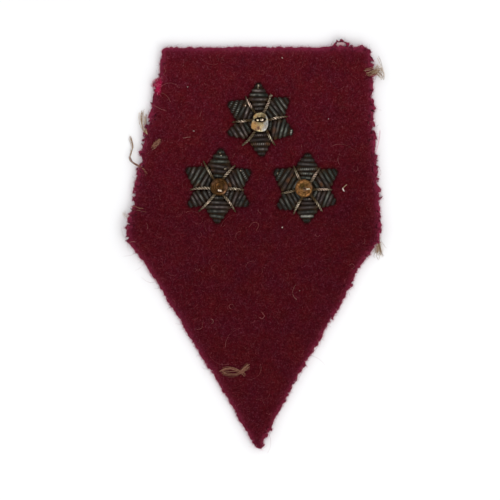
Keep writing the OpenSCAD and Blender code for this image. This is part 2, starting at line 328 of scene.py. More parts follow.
def wool(name, size, bump):
    """Crimson wool. Size is that of its streaks in millimetres."""
    material, tree, shader = new_material(name)
    mat = node(tree, "ShaderNodeGroup", {"Size": size}, node_tree=mat_group).outputs
    colour = mix(tree, mat["Mask"], FELT_DARK, FELT_LIGHT)
    colour = mix(tree, maths(tree, "MULTIPLY", mat["Pale"], 0.22), colour, FELT_PALE)
    colour = mix(tree, 1.0, colour, mix(tree, mat["Drift"], FELT_BROWNER, FELT_BLUER), "MULTIPLY")
    colour = tint(tree, colour, spread(tree, mat["Blotches"], 0.0, 1.0, 0.95, 1.05))
    place = node(tree, "ShaderNodeSeparateXYZ", {0: node(tree, "ShaderNodeTexCoord").outputs["Object"]})
    height, side = place.outputs["Y"], place.outputs["X"]
    # Painted light: lighter towards the top. Then a little lighter towards the left.
    colour = tint(tree, colour, spread(tree, height, PAINTED_LIGHT_FROM, PAINTED_LIGHT_TO, 1.0, PAINTED_LIGHT_UP))
    colour = tint(tree, colour, spread(tree, side, -LIGHTER_SIDE, 0.0, LIGHTER_LEFT, 1.0))
    cut = attribute(tree, "cut_edge")
    patchy = spread(tree, mat["Mask"], 0.1, 0.8, 0.55, 1.3)
    fresh = maths(tree, "MULTIPLY", maths(tree, "POWER", cut, 4.0), patchy)
    fresh = maths(tree, "ADD", fresh, maths(tree, "MULTIPLY", cut, 0.06), True)
    dulled = spread(tree, height, -DULL_CUT_HALF, DULL_CUT_HALF, DULL_CUT, 1.0)
    fresh = maths(tree, "MULTIPLY", fresh, dulled)
    colour = mix(tree, fresh, colour, FELT_CUT)
    colour = mix(tree, maths(tree, "MULTIPLY", attribute(tree, "tuft"), 0.9), colour, FELT_TUFT)
    # Painted shade round the stars, darkest along the rays' outline.
    colour = mix(tree, maths(tree, "MULTIPLY", attribute(tree, "painted_shade"), 0.75), colour, FELT_PAINTED_SHADE)
    patchy = spread(tree, mat["Mask"], 0.1, 0.8, 0.5, 1.1)
    # Painted light: the cut wall is brighter than the wool, standing in for light that the thin edge lets
    # through and throws on the table.
    inside = maths(tree, "MULTIPLY", attribute(tree, "cut_wall"), patchy, True)
    tree.links.new(mix(tree, inside, colour, FELT_WALL_GLOW), shader.inputs["Base Color"])
    shader.inputs["Roughness"].default_value = 0.92
    shader.inputs["Specular IOR Level"].default_value = 0.02
    shader.inputs["Sheen Weight"].default_value = 0.02
    shader.inputs["Sheen Roughness"].default_value = 0.45
    shader.inputs["Sheen Tint"].default_value = (1.0, 0.35, 0.42, 1)
    dents = node(tree, "ShaderNodeBump", {"Height": mat["Mask"], "Strength": bump, "Distance": 0.12 * MM})
    tree.links.new(dents.outputs[0], shader.inputs["Normal"])
    return material


crimson_wool = wool("crimson_wool", size=0.40, bump=0.9)
print("material:", crimson_wool.name, "with", len(crimson_wool.node_tree.nodes), "nodes")

# %% [markdown]
# ## The sheet of felt
# The measured solid has the outline, the thickness and the lifted corners, but its face is
# smooth and its cut edge is clean. The real one is also torn open near the right end of its
# upper edge, under a loop of fray: that slit is cut with a Boolean. A voxel remesh then gives
# the sheet an even skin of small faces, fine enough to be roughened.

# %% Copy the felt
felt = bpy.data.objects.new("felt_cloth", frame["nodes"]["felt_tab"].data.copy())
bpy.context.scene.collection.objects.link(felt)
pick(felt)
bpy.ops.object.mode_set(mode="EDIT")
bpy.ops.mesh.select_all(action="SELECT")
bpy.ops.mesh.remove_doubles(threshold=0.001 * MM)
bpy.ops.object.mode_set(mode="OBJECT")
print("felt:", triangles(felt), "triangles")

# %% Cut the slit and remesh
# The slit is an ellipse: its middle and size in mm, and its turn in degrees
SLIT_MIDDLE = (15.6, 35.74)
SLIT_WIDTH, SLIT_HEIGHT, SLIT_TURN = 2.0, 0.90, 5
FELT_VOXEL = 0.25 * MM

deselect_all()
bpy.ops.mesh.primitive_cylinder_add(
    vertices=24, radius=0.5 * MM, depth=6 * MM, location=(SLIT_MIDDLE[0] * MM, SLIT_MIDDLE[1] * MM, 0),
    rotation=(0, 0, math.radians(SLIT_TURN)))
slit = bpy.context.object
slit.scale = (SLIT_WIDTH, SLIT_HEIGHT, 1)
pierce = felt.modifiers.new("pierce", "BOOLEAN")
pierce.object = slit
apply_modifiers(felt)
bpy.data.objects.remove(slit)
felt.data.remesh_voxel_size = FELT_VOXEL
bpy.ops.object.voxel_remesh()
print("felt:", len(felt.data.vertices), "points,", triangles(felt), "triangles")

# %% [markdown]
# ## Where the cloth is cut, worn and torn
# Wear and colour follow the cut edge, so each point of the cloth learns how near the edge it
# is. The straight upper edge was cut cleanly, and the two long lower edges have few teeth.
# High on the left edge a tuft was torn out, and its inside is the brightest red of all.
# Each of these is a value that is kept for every point.

# %% Mark the cut edge
EDGE_REACH = 2.4 * MM
# The cut edge is measured from points whose normal lies flatter than this.
WALL_SLOPE = 0.4


def mark(piece, name, weights):
    """Keeps a value for each point, as an attribute for materials and a group for modifiers."""
    keep(piece, name, weights)
    group = piece.vertex_groups.new(name=name + "_group")
    for step in range(1, 11):
        chosen = [i for i, w in enumerate(weights) if round(w * 10) == step]
        if chosen:
            group.add(chosen, step / 10, "REPLACE")


wall = [p for p in felt.data.vertices if abs(p.normal.z) < WALL_SLOPE]
near_wall = kdtree.KDTree(len(wall))
for i, point in enumerate(wall):
    near_wall.insert((point.co.x, point.co.y, 0), i)
near_wall.balance()
edge_weights = [
    max(0.0, 1 - near_wall.find((p.co.x, p.co.y, 0))[2] / EDGE_REACH) for p in felt.data.vertices]
mark(felt, "cut_edge", edge_weights)
print("points on the cut edge:", len(wall))

# %% Mark the teeth, the wall, the face and the tuft
# How much of its teeth each stretch of the edge has: the upper edge and the two lower ones
CLEAN_ABOVE, CLEAN_LEFT_OF, CLEAN_SHARE = 33.5 * MM, 13.5 * MM, 0.4
LOWER_LEFT_SHARE, LOWER_RIGHT_SHARE = 0.42, 0.75
# Points whose normal is steeper than this are on a face, and the others on the wall. No fray
# grows within this distance of the slit's middle, mm.
FACE_SLOPE = 0.5
SLIT_CLEAR = SLIT_WIDTH * 0.6


def toothed(place):
    if place.y > CLEAN_ABOVE and place.x < CLEAN_LEFT_OF:
        return CLEAN_SHARE
    if place.y < 0:
        return LOWER_LEFT_SHARE if place.x < 0 else LOWER_RIGHT_SHARE
    return 1.0


mark(felt, "toothed", [w * toothed(p.co) for w, p in zip(edge_weights, felt.data.vertices)])
mark(felt, "cut_wall", [
    1.0 if abs(p.normal.z) < FACE_SLOPE and (p.co.xy / MM - Vector(SLIT_MIDDLE)).length > SLIT_CLEAR else 0.0
    for p in felt.data.vertices])
mark(felt, "upper_face", [1.0 if p.normal.z > FACE_SLOPE else 0.0 for p in felt.data.vertices])
# The torn tuft: its middle, half width and half height, mm
TUFT_MIDDLE, TUFT_REACH = (-17.35, 28.35), (0.85, 2.2)


def tufted(point):
    """How much a point belongs to the tuft: all of it up to half way out, none on the back."""
    if point.normal.z <= -FACE_SLOPE:
        return 0.0
    across = (point.co.x / MM - TUFT_MIDDLE[0]) / TUFT_REACH[0]
    up = (point.co.y / MM - TUFT_MIDDLE[1]) / TUFT_REACH[1]
    return max(0.0, min(1.0, 2 - 2 * math.hypot(across, up)))


tuft_weights = [tufted(p) for p in felt.data.vertices]
mark(felt, "tuft", tuft_weights)
print("points in the tuft:", sum(1 for weight in tuft_weights if weight > 0))

# %% [markdown]
# ## Roughen the cloth
# Displacement roughens the fine skin: sideways at the cut edge, where the scissors left teeth
# and the wool frayed, and in soft pits on the face. The back gets no pits. Years on a collar
# then wore the left edge back a little and spread the right one, and for that the points near
# the edge are simply moved.

# %% Displace the felt
ROUGHNESS = [
    # name, noise size mm, strength mm, contrast, direction, group, level
    ("teeth_x", 0.46, 1.15, 1.7, "X", "toothed_group", 0.5),
    ("teeth_y", 0.52, 1.15, 1.7, "Y", "toothed_group", 0.5),
    ("ragged_x", 1.2, 0.40, 1.5, "X", "toothed_group", 0.5),
    ("ragged_y", 1.4, 0.40, 1.5, "Y", "toothed_group", 0.5),
    ("pits", 0.9, 0.16, 1.0, "NORMAL", "upper_face_group", 0.85),
    ("waves", 5.5, 0.22, 1.0, "NORMAL", "upper_face_group", 0.85),
]
# The cut goes straight down through the cloth, so its noise is stretched along Z by an empty.
deselect_all()
bpy.ops.object.empty_add(location=(0, 0, 0))
upright = bpy.context.object
upright.scale = (1, 1, 25)
bpy.context.view_layer.update()
for name, size, strength, contrast, direction, group, level in ROUGHNESS:
    clouds = bpy.data.textures.new(name, "CLOUDS")
    clouds.noise_scale = size * MM
    clouds.noise_depth = 2
    clouds.contrast = contrast
    roughen = felt.modifiers.new(name, "DISPLACE")
    roughen.texture = clouds
    if direction == "NORMAL":
        roughen.texture_coords = "LOCAL"
    else:
        roughen.texture_coords = "OBJECT"
        roughen.texture_coords_object = upright
    roughen.strength = strength * MM
    roughen.direction = direction
    roughen.vertex_group = group
    roughen.mid_level = level
soften = felt.modifiers.new("soften", "SMOOTH")
soften.factor = 0.5
soften.iterations = 1
soften.vertex_group = "cut_edge_group"
apply_modifiers(felt)
bpy.data.objects.remove(upright)
print("felt box in mm:", [round(v / MM, 2) for v in felt.dimensions])

# %% Wear the cut edge
# How far the edge moved inwards, or outwards where it is a minus: the height on the tab and
# the move, both in mm
LEFT_WEAR = [(-36, 0.0), (-30, 0.01), (0, 0.02), (3, 0.24),
             (12, 0.24), (20, 0.14), (28, 0.17), (36, 0.05)]
RIGHT_WEAR = [(-36, 0.0), (-30, 0.03), (0, 0.03), (5, -0.05),
              (18, -0.05), (24, -0.10), (33, -0.11), (36, 0.0)]
# Below the side corners the edges run down to the point, and inwards is square to them.
CORNER_HEIGHT = 1 * MM
LOWER_INWARDS = (0.86, 0.52)


def worn_back(stops, height):
    for (low, a), (high, b) in zip(stops, stops[1:]):
        if low <= height < high:
            return a + (b - a) * (height - low) / (high - low)
    return 0.0


for point, weight in zip(felt.data.vertices, edge_weights):
    side = 1 if point.co.x < 0 else -1
    low = point.co.y < CORNER_HEIGHT
    inwards = Vector((LOWER_INWARDS[0] * side, LOWER_INWARDS[1], 0)) if low else Vector((side, 0, 0))
    stops = LEFT_WEAR if side > 0 else RIGHT_WEAR
    point.co += inwards * worn_back(stops, point.co.y / MM) * MM * weight
pick(felt)
bpy.ops.object.shade_smooth()
dress(felt, crimson_wool)
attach(felt, "root")
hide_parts("felt_tab")
print("felt box in mm:", [round(v / MM, 2) for v in felt.dimensions])

# %% [markdown]
# ## Loose fibres
# Felt is never bald: fibres lie on its face, the cut edge has a fringe of them, and more
# stand in the torn tuft. A strand is drawn out of a three-sided ring, a few bent ones of each
# sort are kept in a box of strands, and Geometry Nodes sow them over the cloth.

# %% Model a strand
def strand(name, radius, length, steps, sideways, upwards):
    """A thin three-sided thread from the origin along X, drawn out step by step."""
    deselect_all()
    bpy.ops.mesh.primitive_circle_add(
        vertices=3, radius=radius * MM, fill_type="NGON", rotation=(0, math.pi / 2, 0))
    piece = bpy.context.object
    piece.name = name
    place_in_mesh(piece)
    bpy.ops.object.mode_set(mode="EDIT")
    bpy.ops.mesh.select_all(action="SELECT")
    heading = Vector((1, 0, 0))
    place = Vector((0, 0, 0))
    for step in range(steps):
        move = heading * (length * MM / steps)
        place += move
        bpy.ops.mesh.extrude_region_move(TRANSFORM_OT_translate={"value": move})
        turn_z = math.radians(sideways) * (1 if step < steps - 2 else -1)
        turn_y = math.radians(upwards) * (-1 if step < steps / 2 else 1)
        bpy.ops.transform.rotate(value=turn_z, orient_axis="Z", center_override=place)
        bpy.ops.transform.rotate(value=turn_y, orient_axis="Y", center_override=place)
        mesh = bmesh.from_edit_mesh(piece.data)
        tip = [face for face in mesh.faces if face.select]
        heading = tip[0].normal.copy() if tip[0].normal.dot(heading) > 0 else -tip[0].normal
        bpy.ops.transform.resize(value=(0.9, 0.9, 0.9), center_override=place)
    bpy.ops.mesh.select_all(action="SELECT")
    bpy.ops.mesh.normals_make_consistent(inside=False)
    bpy.ops.object.mode_set(mode="OBJECT")
    bpy.ops.object.shade_smooth()
    return piece


# %% Model a few strands of each sort
STRANDS = {
    # box: name, radius mm, length mm, steps, bend per step in degrees: sideways and up
    "nap_box": [("nap_a", 0.017, 1.5, 5, 14, 5), ("nap_b", 0.016, 1.1, 4, -22, 7),
                ("nap_c", 0.018, 1.8, 6, 24, 3), ("nap_d", 0.016, 0.8, 3, -12, 16)],
    "hair_box": [("hair_a", 0.026, 3.6, 10, 11, 1), ("hair_b", 0.024, 2.8, 9, -19, 1),
                 ("hair_c", 0.026, 4.6, 12, 7, 1), ("hair_d", 0.024, 2.2, 9, 34, 1)],
    "fringe_box": [("fringe_a", 0.020, 0.75, 3, 22, 6), ("fringe_b", 0.018, 0.95, 3, -30, 4),
                   ("fringe_c", 0.022, 0.55, 2, 14, 10)],
}
boxes = {}
for box, rows in STRANDS.items():
    boxes[box] = bpy.data.collections.new(box)
    for row in rows:
        made = strand(*row)
        for home in list(made.users_collection):
            home.objects.unlink(made)
        boxes[box].objects.link(made)

# %% Lay strands on the table
# Strands lower than this over the table bend flat instead of passing through it.
TABLE_NEAR = 0.08 * MM


def lay_down(piece):
    """Brings low points nearer to the table the lower they are, but never through it."""
    for point in piece.data.vertices:
        if point.co.z < TABLE_NEAR:
            point.co.z = TABLE_NEAR * math.exp(point.co.z / TABLE_NEAR - 1)


# %% Sow strands with Geometry Nodes
# How much strands tilt at random, in radians: sideways, down and up
TILT, TILT_DOWN, TILT_UP = 0.15, 0.15, 0.25


def sow(name, ground, box, per_mm2, seed, where, size_range, lean, material):
    """Strands on the part of a ground that an attribute marks, as a piece of its own.
    Each points any way and stands up by the lean."""
    tree = bpy.data.node_groups.new(name, "GeometryNodeTree")
    tree.interface.new_socket("Geometry", in_out="INPUT", socket_type="NodeSocketGeometry")
    tree.interface.new_socket("Geometry", in_out="OUTPUT", socket_type="NodeSocketGeometry")
    start = node(tree, "NodeGroupInput")
    finish = node(tree, "NodeGroupOutput")
    marked = node(tree, "GeometryNodeInputNamedAttribute", {"Name": where}, data_type="FLOAT").outputs[0]
    chosen = node(tree, "ShaderNodeMath", {0: marked, 1: 0.5}, operation="GREATER_THAN").outputs[0]
    seeds = node(tree, "GeometryNodeDistributePointsOnFaces", {
        "Mesh": start.outputs[0], "Selection": chosen, "Density": per_mm2 / MM ** 2, "Seed": seed})
    spin = node(tree, "FunctionNodeRandomValue", data_type="FLOAT_VECTOR")
    spin.inputs[0].default_value = (-TILT, -lean - TILT_DOWN, 0.0)
    spin.inputs[1].default_value = (TILT, -lean + TILT_UP, 2 * math.pi)
    spin.inputs["Seed"].default_value = seed + 1
    turned = node(tree, "FunctionNodeRotateEuler", {0: seeds.outputs["Rotation"], 1: spin.outputs[0]},
                 rotation_type="EULER", space="LOCAL")
    size = node(tree, "FunctionNodeRandomValue", data_type="FLOAT")
    size.inputs[2].default_value, size.inputs[3].default_value = size_range
    size.inputs["Seed"].default_value = seed + 2
    strands = node(tree, "GeometryNodeCollectionInfo", {
        "Collection": boxes[box], "Separate Children": True, "Reset Children": True})
    sown = node(tree, "GeometryNodeInstanceOnPoints", {
        "Points": seeds.outputs["Points"], "Instance": strands.outputs[0], "Pick Instance": True,
        "Rotation": turned.outputs[0], "Scale": size.outputs[1]})
    tone = node(tree, "FunctionNodeRandomValue", data_type="FLOAT")
    tone.inputs["Seed"].default_value = seed + 3
    toned = node(tree, "GeometryNodeStoreNamedAttribute", {
        "Geometry": sown.outputs[0], "Name": "tone", "Value": tone.outputs[1]},
        data_type="FLOAT", domain="INSTANCE")
    real = node(tree, "GeometryNodeRealizeInstances", {0: toned.outputs[0]})
    dressed = node(tree, "GeometryNodeSetMaterial", {"Geometry": real.outputs[0], "Material": material})
    tree.links.new(dressed.outputs[0], finish.inputs[0])

    piece = bpy.data.objects.new(name, ground.data.copy())
    bpy.context.scene.collection.objects.link(piece)
    sowing = piece.modifiers.new("sow", "NODES")
    sowing.node_group = tree
    apply_modifiers(piece)
    lay_down(piece)
    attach(piece, "root")
    print(name, triangles(piece), "triangles")
    return piece


# %% [markdown]
# ## The colours of fibres
# No two fibres have quite the same colour: most are as dark as the cloth, and a few are pale.
# The palest of the nap and the pale fray at the cut edge are painted light: fibres that catch the
# light, and thin fray that glows as light comes through it.
# Each carries a random value, "tone", and a colour ramp turns it into a colour.

# %% Material of a fibre
CRIMP_SCALE = 9000.0


def fibre_material(name, colours, sheen):
    """Colours are stops of a ramp that the fibre's tone goes through."""
    material, tree, shader = new_material(name)
    ramp = node(tree, "ShaderNodeValToRGB", {0: attribute(tree, "tone")})
    stops = ramp.color_ramp.elements
    while len(stops) < len(colours):
        stops.new(0.5)
    for stop, (position, colour) in zip(stops, colours):
        stop.position, stop.color = position, colour
    crimp = node(tree, "ShaderNodeTexNoise", {
        "Vector": node(tree, "ShaderNodeTexCoord").outputs["Object"], "Scale": CRIMP_SCALE})
    light = spread(tree, crimp.outputs["Fac"], 0.3, 0.7, 0.75, 1.25)
    tree.links.new(tint(tree, ramp.outputs[0], light), shader.inputs["Base Color"])
    shader.inputs["Roughness"].default_value = 0.8
    shader.inputs["Specular IOR Level"].default_value = 0.08
    shader.inputs["Sheen Weight"].default_value = sheen
    bump = node(tree, "ShaderNodeBump", {
        "Height": crimp.outputs["Fac"], "Strength": 0.3, "Distance": 0.01 * MM})
    tree.links.new(bump.outputs[0], shader.inputs["Normal"])
    return material


# %% Colours of the nap, the fray, the hairs and the tuft
# Painted light: the nap's palest stop stands for fibres that catch the light, and the fray's pale stops for
# thin fibres glowing in the light that comes through them.
NAP_COLOURS = [(0.0, (0.030, 0.001, 0.003, 1)), (0.5, (0.080, 0.004, 0.009, 1)),
               (0.85, (0.150, 0.014, 0.022, 1)), (1.0, (0.30, 0.075, 0.080, 1))]
FRAY_GLOW_COLOURS = [(0.0, (0.34, 0.040, 0.100, 1)), (0.4, (0.70, 0.30, 0.40, 1)),
                (0.8, (0.88, 0.60, 0.68, 1)), (1.0, (0.92, 0.80, 0.84, 1))]
HAIR_COLOURS = [(0.0, (0.10, 0.008, 0.014, 1)), (0.5, (0.20, 0.040, 0.045, 1)),
                (0.9, (0.34, 0.120, 0.110, 1)), (1.0, (0.48, 0.30, 0.24, 1))]
TUFT_COLOURS = [(0.0, (0.30, 0.006, 0.040, 1)), (0.6, (0.50, 0.016, 0.085, 1)),
                (0.9, (0.75, 0.14, 0.26, 1)), (1.0, (0.90, 0.55, 0.62, 1))]
crimson_fibre = fibre_material("crimson_fibre", NAP_COLOURS, 0.03)
bright_fibre = fibre_material("bright_fibre", FRAY_GLOW_COLOURS, 0.1)
pale_fibre = fibre_material("pale_fibre", HAIR_COLOURS, 0.03)
tuft_fibre = fibre_material("tuft_fibre", TUFT_COLOURS, 0.1)
felt_fibres = (crimson_fibre, bright_fibre, pale_fibre, tuft_fibre)
print("fibres of the felt:", [material.name for material in felt_fibres])

# %% Sow the nap, the hairs, the fray and the tuft
nap = sow("felt_nap", felt, "nap_box", per_mm2=2.0, seed=11, where="upper_face",
          size_range=(0.5, 1.1), lean=0.08, material=crimson_fibre)
hairs = sow("felt_hairs", felt, "hair_box", per_mm2=0.11, seed=57, where="upper_face",
            size_range=(0.6, 1.1), lean=0.0, material=pale_fibre)
fray = sow("felt_fray", felt, "fringe_box", per_mm2=32.0, seed=31, where="cut_wall",
           size_range=(0.25, 0.68), lean=0.9, material=bright_fibre)
tuft = sow("felt_tuft", felt, "fringe_box", per_mm2=45.0, seed=83, where="tuft",
           size_range=(0.4, 0.9), lean=0.5, material=tuft_fibre)

# %% [markdown]
# ## The metals
# Silver purl tarnishes from the outside in: the top of each turn stays rubbed and bright,
# and the rest goes brown, green-grey and nearly black. A highlight is painted along the top of
# each turn as well, brightest at a peak on each rib, and the ribs' ends are painted darker as
# shade. Brown dust lies at the ribs' ends, and rust stains a few spots. All of this differs from
# rib to rib, so each rib carries its own values, "shine", "hue", "warmth" and "rust", which
# the material reads. One node group does the tarnish of every metal here.

# %% Shader group: tarnish
GREENISH, PINKISH = (0.93, 1.02, 0.96, 1), (1.08, 0.95, 0.97, 1)
tarnish_group, takes, gives = new_group(
    "tarnish",
    {"Metal": COLOUR, "Film": COLOUR, "Second Film": COLOUR, "Shine": NUMBER, "Hue": NUMBER, "Size": NUMBER},
    {"Colour": COLOUR, "Bare": NUMBER, "Spots": NUMBER})
place = node(tarnish_group, "ShaderNodeTexCoord").outputs["Object"]
pitch = maths(tarnish_group, "DIVIDE", 1000.0, takes["Size"])
spots = node(tarnish_group, "ShaderNodeTexNoise", {
    "Vector": place, "Scale": pitch, "Detail": 3.0}).outputs["Fac"]
spots = spread(tarnish_group, spots, 0.32, 0.68)
patchy = spread(tarnish_group, spots, 0.0, 1.0, 0.1, 1.9)
bare = maths(tarnish_group, "MULTIPLY", takes["Shine"], patchy, True)
drift = node(tarnish_group, "ShaderNodeTexNoise", {
    "Vector": place, "Scale": maths(tarnish_group, "MULTIPLY", pitch, 0.35), "Detail": 1.0}).outputs["Fac"]
hue = maths(tarnish_group, "ADD", takes["Hue"], spread(tarnish_group, drift, 0.35, 0.65, -0.3, 0.3), True)
film = mix(tarnish_group, hue, takes["Film"], takes["Second Film"])
lustre = mix(tarnish_group, 1.0, takes["Metal"], mix(tarnish_group, hue, GREENISH, PINKISH), "MULTIPLY")
# Shine above 1 lightens the metal's colour further: a painted highlight.
lustre = tint(tarnish_group, lustre, spread(tarnish_group, takes["Shine"], 1.0, 2.5, 1.0, 1.7))
tarnish_group.links.new(mix(tarnish_group, bare, film, lustre), gives["Colour"])
tarnish_group.links.new(bare, gives["Bare"])
tarnish_group.links.new(spots, gives["Spots"])
print("group tarnish:", len(tarnish_group.nodes), "nodes")


# %% Material of a metal
def metal(name, bare, film, second_film, size, bump, shine, hue, film_metallic=0.25, stains=()):
    """A tarnished metal. Shine and hue are values, or the names of attributes that hold them.
    Each stain is the name of an attribute that says where it is, and its colour."""
    material, tree, shader = new_material(name)
    coat = node(tree, "ShaderNodeGroup", {
        "Metal": (*bare, 1), "Film": (*film, 1), "Second Film": (*second_film, 1), "Size": size,
        "Shine": attribute(tree, shine) if isinstance(shine, str) else shine,
        "Hue": attribute(tree, hue) if isinstance(hue, str) else hue}, node_tree=tarnish_group).outputs
    colour = coat["Colour"]
    for stain_name, stain_colour in stains:
        patchy = spread(tree, coat["Spots"], 0.0, 1.0, 0.5, 1.6)
        ragged = maths(tree, "MULTIPLY", attribute(tree, stain_name), patchy, True)
        colour = mix(tree, ragged, colour, (*stain_colour, 1))
    tree.links.new(colour, shader.inputs["Base Color"])
    tree.links.new(spread(tree, coat["Bare"], 0.0, 0.6, film_metallic, 0.9), shader.inputs["Metallic"])
    tree.links.new(spread(tree, coat["Bare"], 0.0, 1.0, 0.52, 0.26), shader.inputs["Roughness"])
    shader.inputs["Specular IOR Level"].default_value = 0.12
    pits = node(tree, "ShaderNodeBump", {"Height": coat["Spots"], "Strength": bump, "Distance": 0.03 * MM})
    tree.links.new(pits.outputs[0], shader.inputs["Normal"])
    return material


# %% The metals and the padding
tarnished_purl = metal(
    "tarnished_purl", (0.42, 0.39, 0.345), (0.0095, 0.0120, 0.0100), (0.0190, 0.0115, 0.0115),
    size=0.80, bump=0.25, shine="shine", hue="hue", film_metallic=0.0,
    stains=[("warmth", (0.056, 0.026, 0.007)), ("rust", (0.100, 0.045, 0.022))])
bright_purl = metal(
    "bright_purl", (0.80, 0.64, 0.50), (0.070, 0.042, 0.017), (0.040, 0.026, 0.012),
    size=0.45, bump=0.2, shine="shine", hue="hue")
dark_gilt = metal(
    "dark_gilt", (0.118, 0.056, 0.018), (0.042, 0.019, 0.005), (0.027, 0.013, 0.004),
    size=0.5, bump=0.6, shine=0.7, hue=0.9, film_metallic=0.7,
    stains=[("dark_stain", (0.022, 0.010, 0.002)), ("pink_stain", (0.12, 0.060, 0.034))])
gilt_sequin = metal(
    "gilt_sequin", (0.30, 0.145, 0.050), (0.070, 0.031, 0.008), (0.048, 0.023, 0.007),
    size=0.36, bump=0.9, shine=0.62, hue=0.7, film_metallic=0.7,
    stains=[("dark_stain", (0.040, 0.022, 0.005)), ("pink_stain", (0.13, 0.075, 0.045))])
worn_sequin = metal(
    "worn_sequin", (0.58, 0.46, 0.27), (0.20, 0.115, 0.04), (0.13, 0.085, 0.035),
    size=0.38, bump=0.6, shine=0.75, hue=0.25, film_metallic=0.7,
    stains=[("orange_stain", (0.40, 0.22, 0.08)), ("grey_stain", (0.34, 0.33, 0.31)),
            ("pink_stain", (0.14, 0.065, 0.045)), ("dark_stain", (0.09, 0.065, 0.03))])
padding_thread = metal(
    "padding_thread", (0.024, 0.013, 0.007), (0.012, 0.008, 0.005), (0.009, 0.007, 0.006),
    size=0.4, bump=0.8, shine=0.6, hue=0.4)
metals = (tarnished_purl, bright_purl, dark_gilt, gilt_sequin, worn_sequin, padding_thread)
print("metals:", [material.name for material in metals])

# %% [markdown]
# ## Where the stars are
# The star's middle is found from its sequin's solid, and the rays and wires are drawn out
# of it by angle and distance. Rays count counter-clockwise from the upper one.

# %% Star tables
STARS = ("star_top", "star_left", "star_right")
STAR_POINTS = 6
RAYS = {
    # angle, tip radius mm, slant of the ribs
    "star_top": [(93, 6.45, -2), (153, 6.35, 3), (204, 6.25, 5),
                 (273, 6.5, -2), (337, 6.2, 10), (36, 6.15, 0)],
    "star_left": [(86, 6.75, -2), (151, 6.5, 2), (212, 6.25, -4),
                  (268, 6.45, -2), (329, 6.2, 6), (26, 6.35, -2)],
    "star_right": [(87, 6.25, 0), (151, 6.4, -3), (214, 5.95, -5),
                   (271, 6.1, 0), (334, 5.8, 3), (30, 6.35, 0)],
}
WIRES = {
    # angle at the sequin, angle at the outer end, radius of the outer end mm
    "star_top": [(130, 122, 4.9), (187, 185, 5.0), (248, 235, 5.6),
                 (312, 300, 5.3), (-10, 6, 4.9), (65, 67, 4.9)],
    "star_left": [(121, 120, 5.3), (196, 186, 5.1), (250, 231, 5.6),
                  (297, 304, 5.4), (-17, -7, 4.6), (65, 52, 4.9)],
    "star_right": [(129, 118, 4.6), (187, 191, 4.5), (254, 244, 5.1),
                   (306, 305, 5.0), (-9, -3, 4.7), (51, 55, 4.5)],
}
# The sequin's place on its star, mm
SEQUIN_PLACE = {"star_top": (-0.05, -0.52), "star_left": (0.18, 0.0), "star_right": (-0.38, 0.02)}
# The height of the stars' undersides and the radius at which the wires start, mm
STAR_BASE = 1.53
WIRE_START = 1.2


def star_middle(star):
    low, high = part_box(star + "_boss")
    offset = Vector((*SEQUIN_PLACE[star], 0))
    middle = (Vector(low) + Vector(high)) / 2 / MM - offset
    return Vector((middle.x, middle.y))


for star in STARS:
    print(star, [round(v, 2) for v in star_middle(star)])

# %% Outline of a ray
# From a wire's middle to the ray's side, how far out the valleys end, how far short of a
# wire's end they stay, and half the width of the blunt tip, mm
SIDE_GAP = 0.21
VALLEY_RADIUS = 4.2
VALLEY_SHORT = 0.3
TIP_HALF = 0.32


def polar(radius, degrees):
    turn = math.radians(degrees)
    return Vector((math.cos(turn), math.sin(turn))) * radius


def wire_ends(star, k):
    inner, outer, reach = WIRES[star][k]
    return polar(WIRE_START, inner), polar(reach, outer)


def ray_outline(star, k):
    """A ray's plan, between its two wires, out to the valleys and on to the blunt tip."""
    angle, tip_radius, _ = RAYS[star][k]
    corners = []
    for wire, side in (((k - 1) % STAR_POINTS, 1), (k, -1)):
        foot, end = wire_ends(star, wire)
        along = (end - foot).normalized()
        aside = Vector((-along.y, along.x)) * SIDE_GAP * side
        far = min(VALLEY_RADIUS, WIRES[star][wire][2] - VALLEY_SHORT)
        valley = foot.lerp(end, (far - WIRE_START) / (WIRES[star][wire][2] - WIRE_START))
        corners.append((foot + aside, valley + aside))
    tip = polar(tip_radius, angle)
    tip_side = Vector((-tip.y, tip.x)).normalized() * TIP_HALF
    (foot_a, valley_a), (foot_b, valley_b) = corners
    return [foot_a, valley_a, tip - tip_side, tip + tip_side, valley_b, foot_b]


# %% [markdown]
# ## The cloth is painted darker along the rays' outline, where they meet it: painted shade at the foot of the stars.
# Tarnish and dust gather where the rays meet the cloth, so it is darkest along their outline.

# %% Paint shade on the cloth round the stars
SHADE_REACH = 0.5 * MM
RIM_STEPS = 12
rims = []
for star in STARS:
    for k in range(STAR_POINTS):
        outline = ray_outline(star, k)
        for a, b in zip(outline, outline[1:] + outline[:1]):
            rims += [(star_middle(star) + a.lerp(b, i / RIM_STEPS)) * MM for i in range(RIM_STEPS)]
near_rim = kdtree.KDTree(len(rims))
for i, rim in enumerate(rims):
    near_rim.insert((rim.x, rim.y, 0), i)
near_rim.balance()
# Painted shade: the nearer a point is to a ray's outline, the darker it is painted.
star_shade = [max(0.0, 1 - near_rim.find((p.co.x, p.co.y, 0))[2] / SHADE_REACH) for p in felt.data.vertices]
keep(felt, "painted_shade", star_shade)
print("soiled points:", sum(1 for share in star_shade if share > 0))

# %% [markdown]
# ## Purl
# Purl is wound like a spring, so it is made like one: a small circle, the section of the
# wire, is taken round and along an axis by the Screw modifier. The spring is then bent over
# the padding by the Curve modifier. Both are what one would use in the window.

# %% Wind a spring
COIL_STEPS = 10
WIRE_SIDES = 5


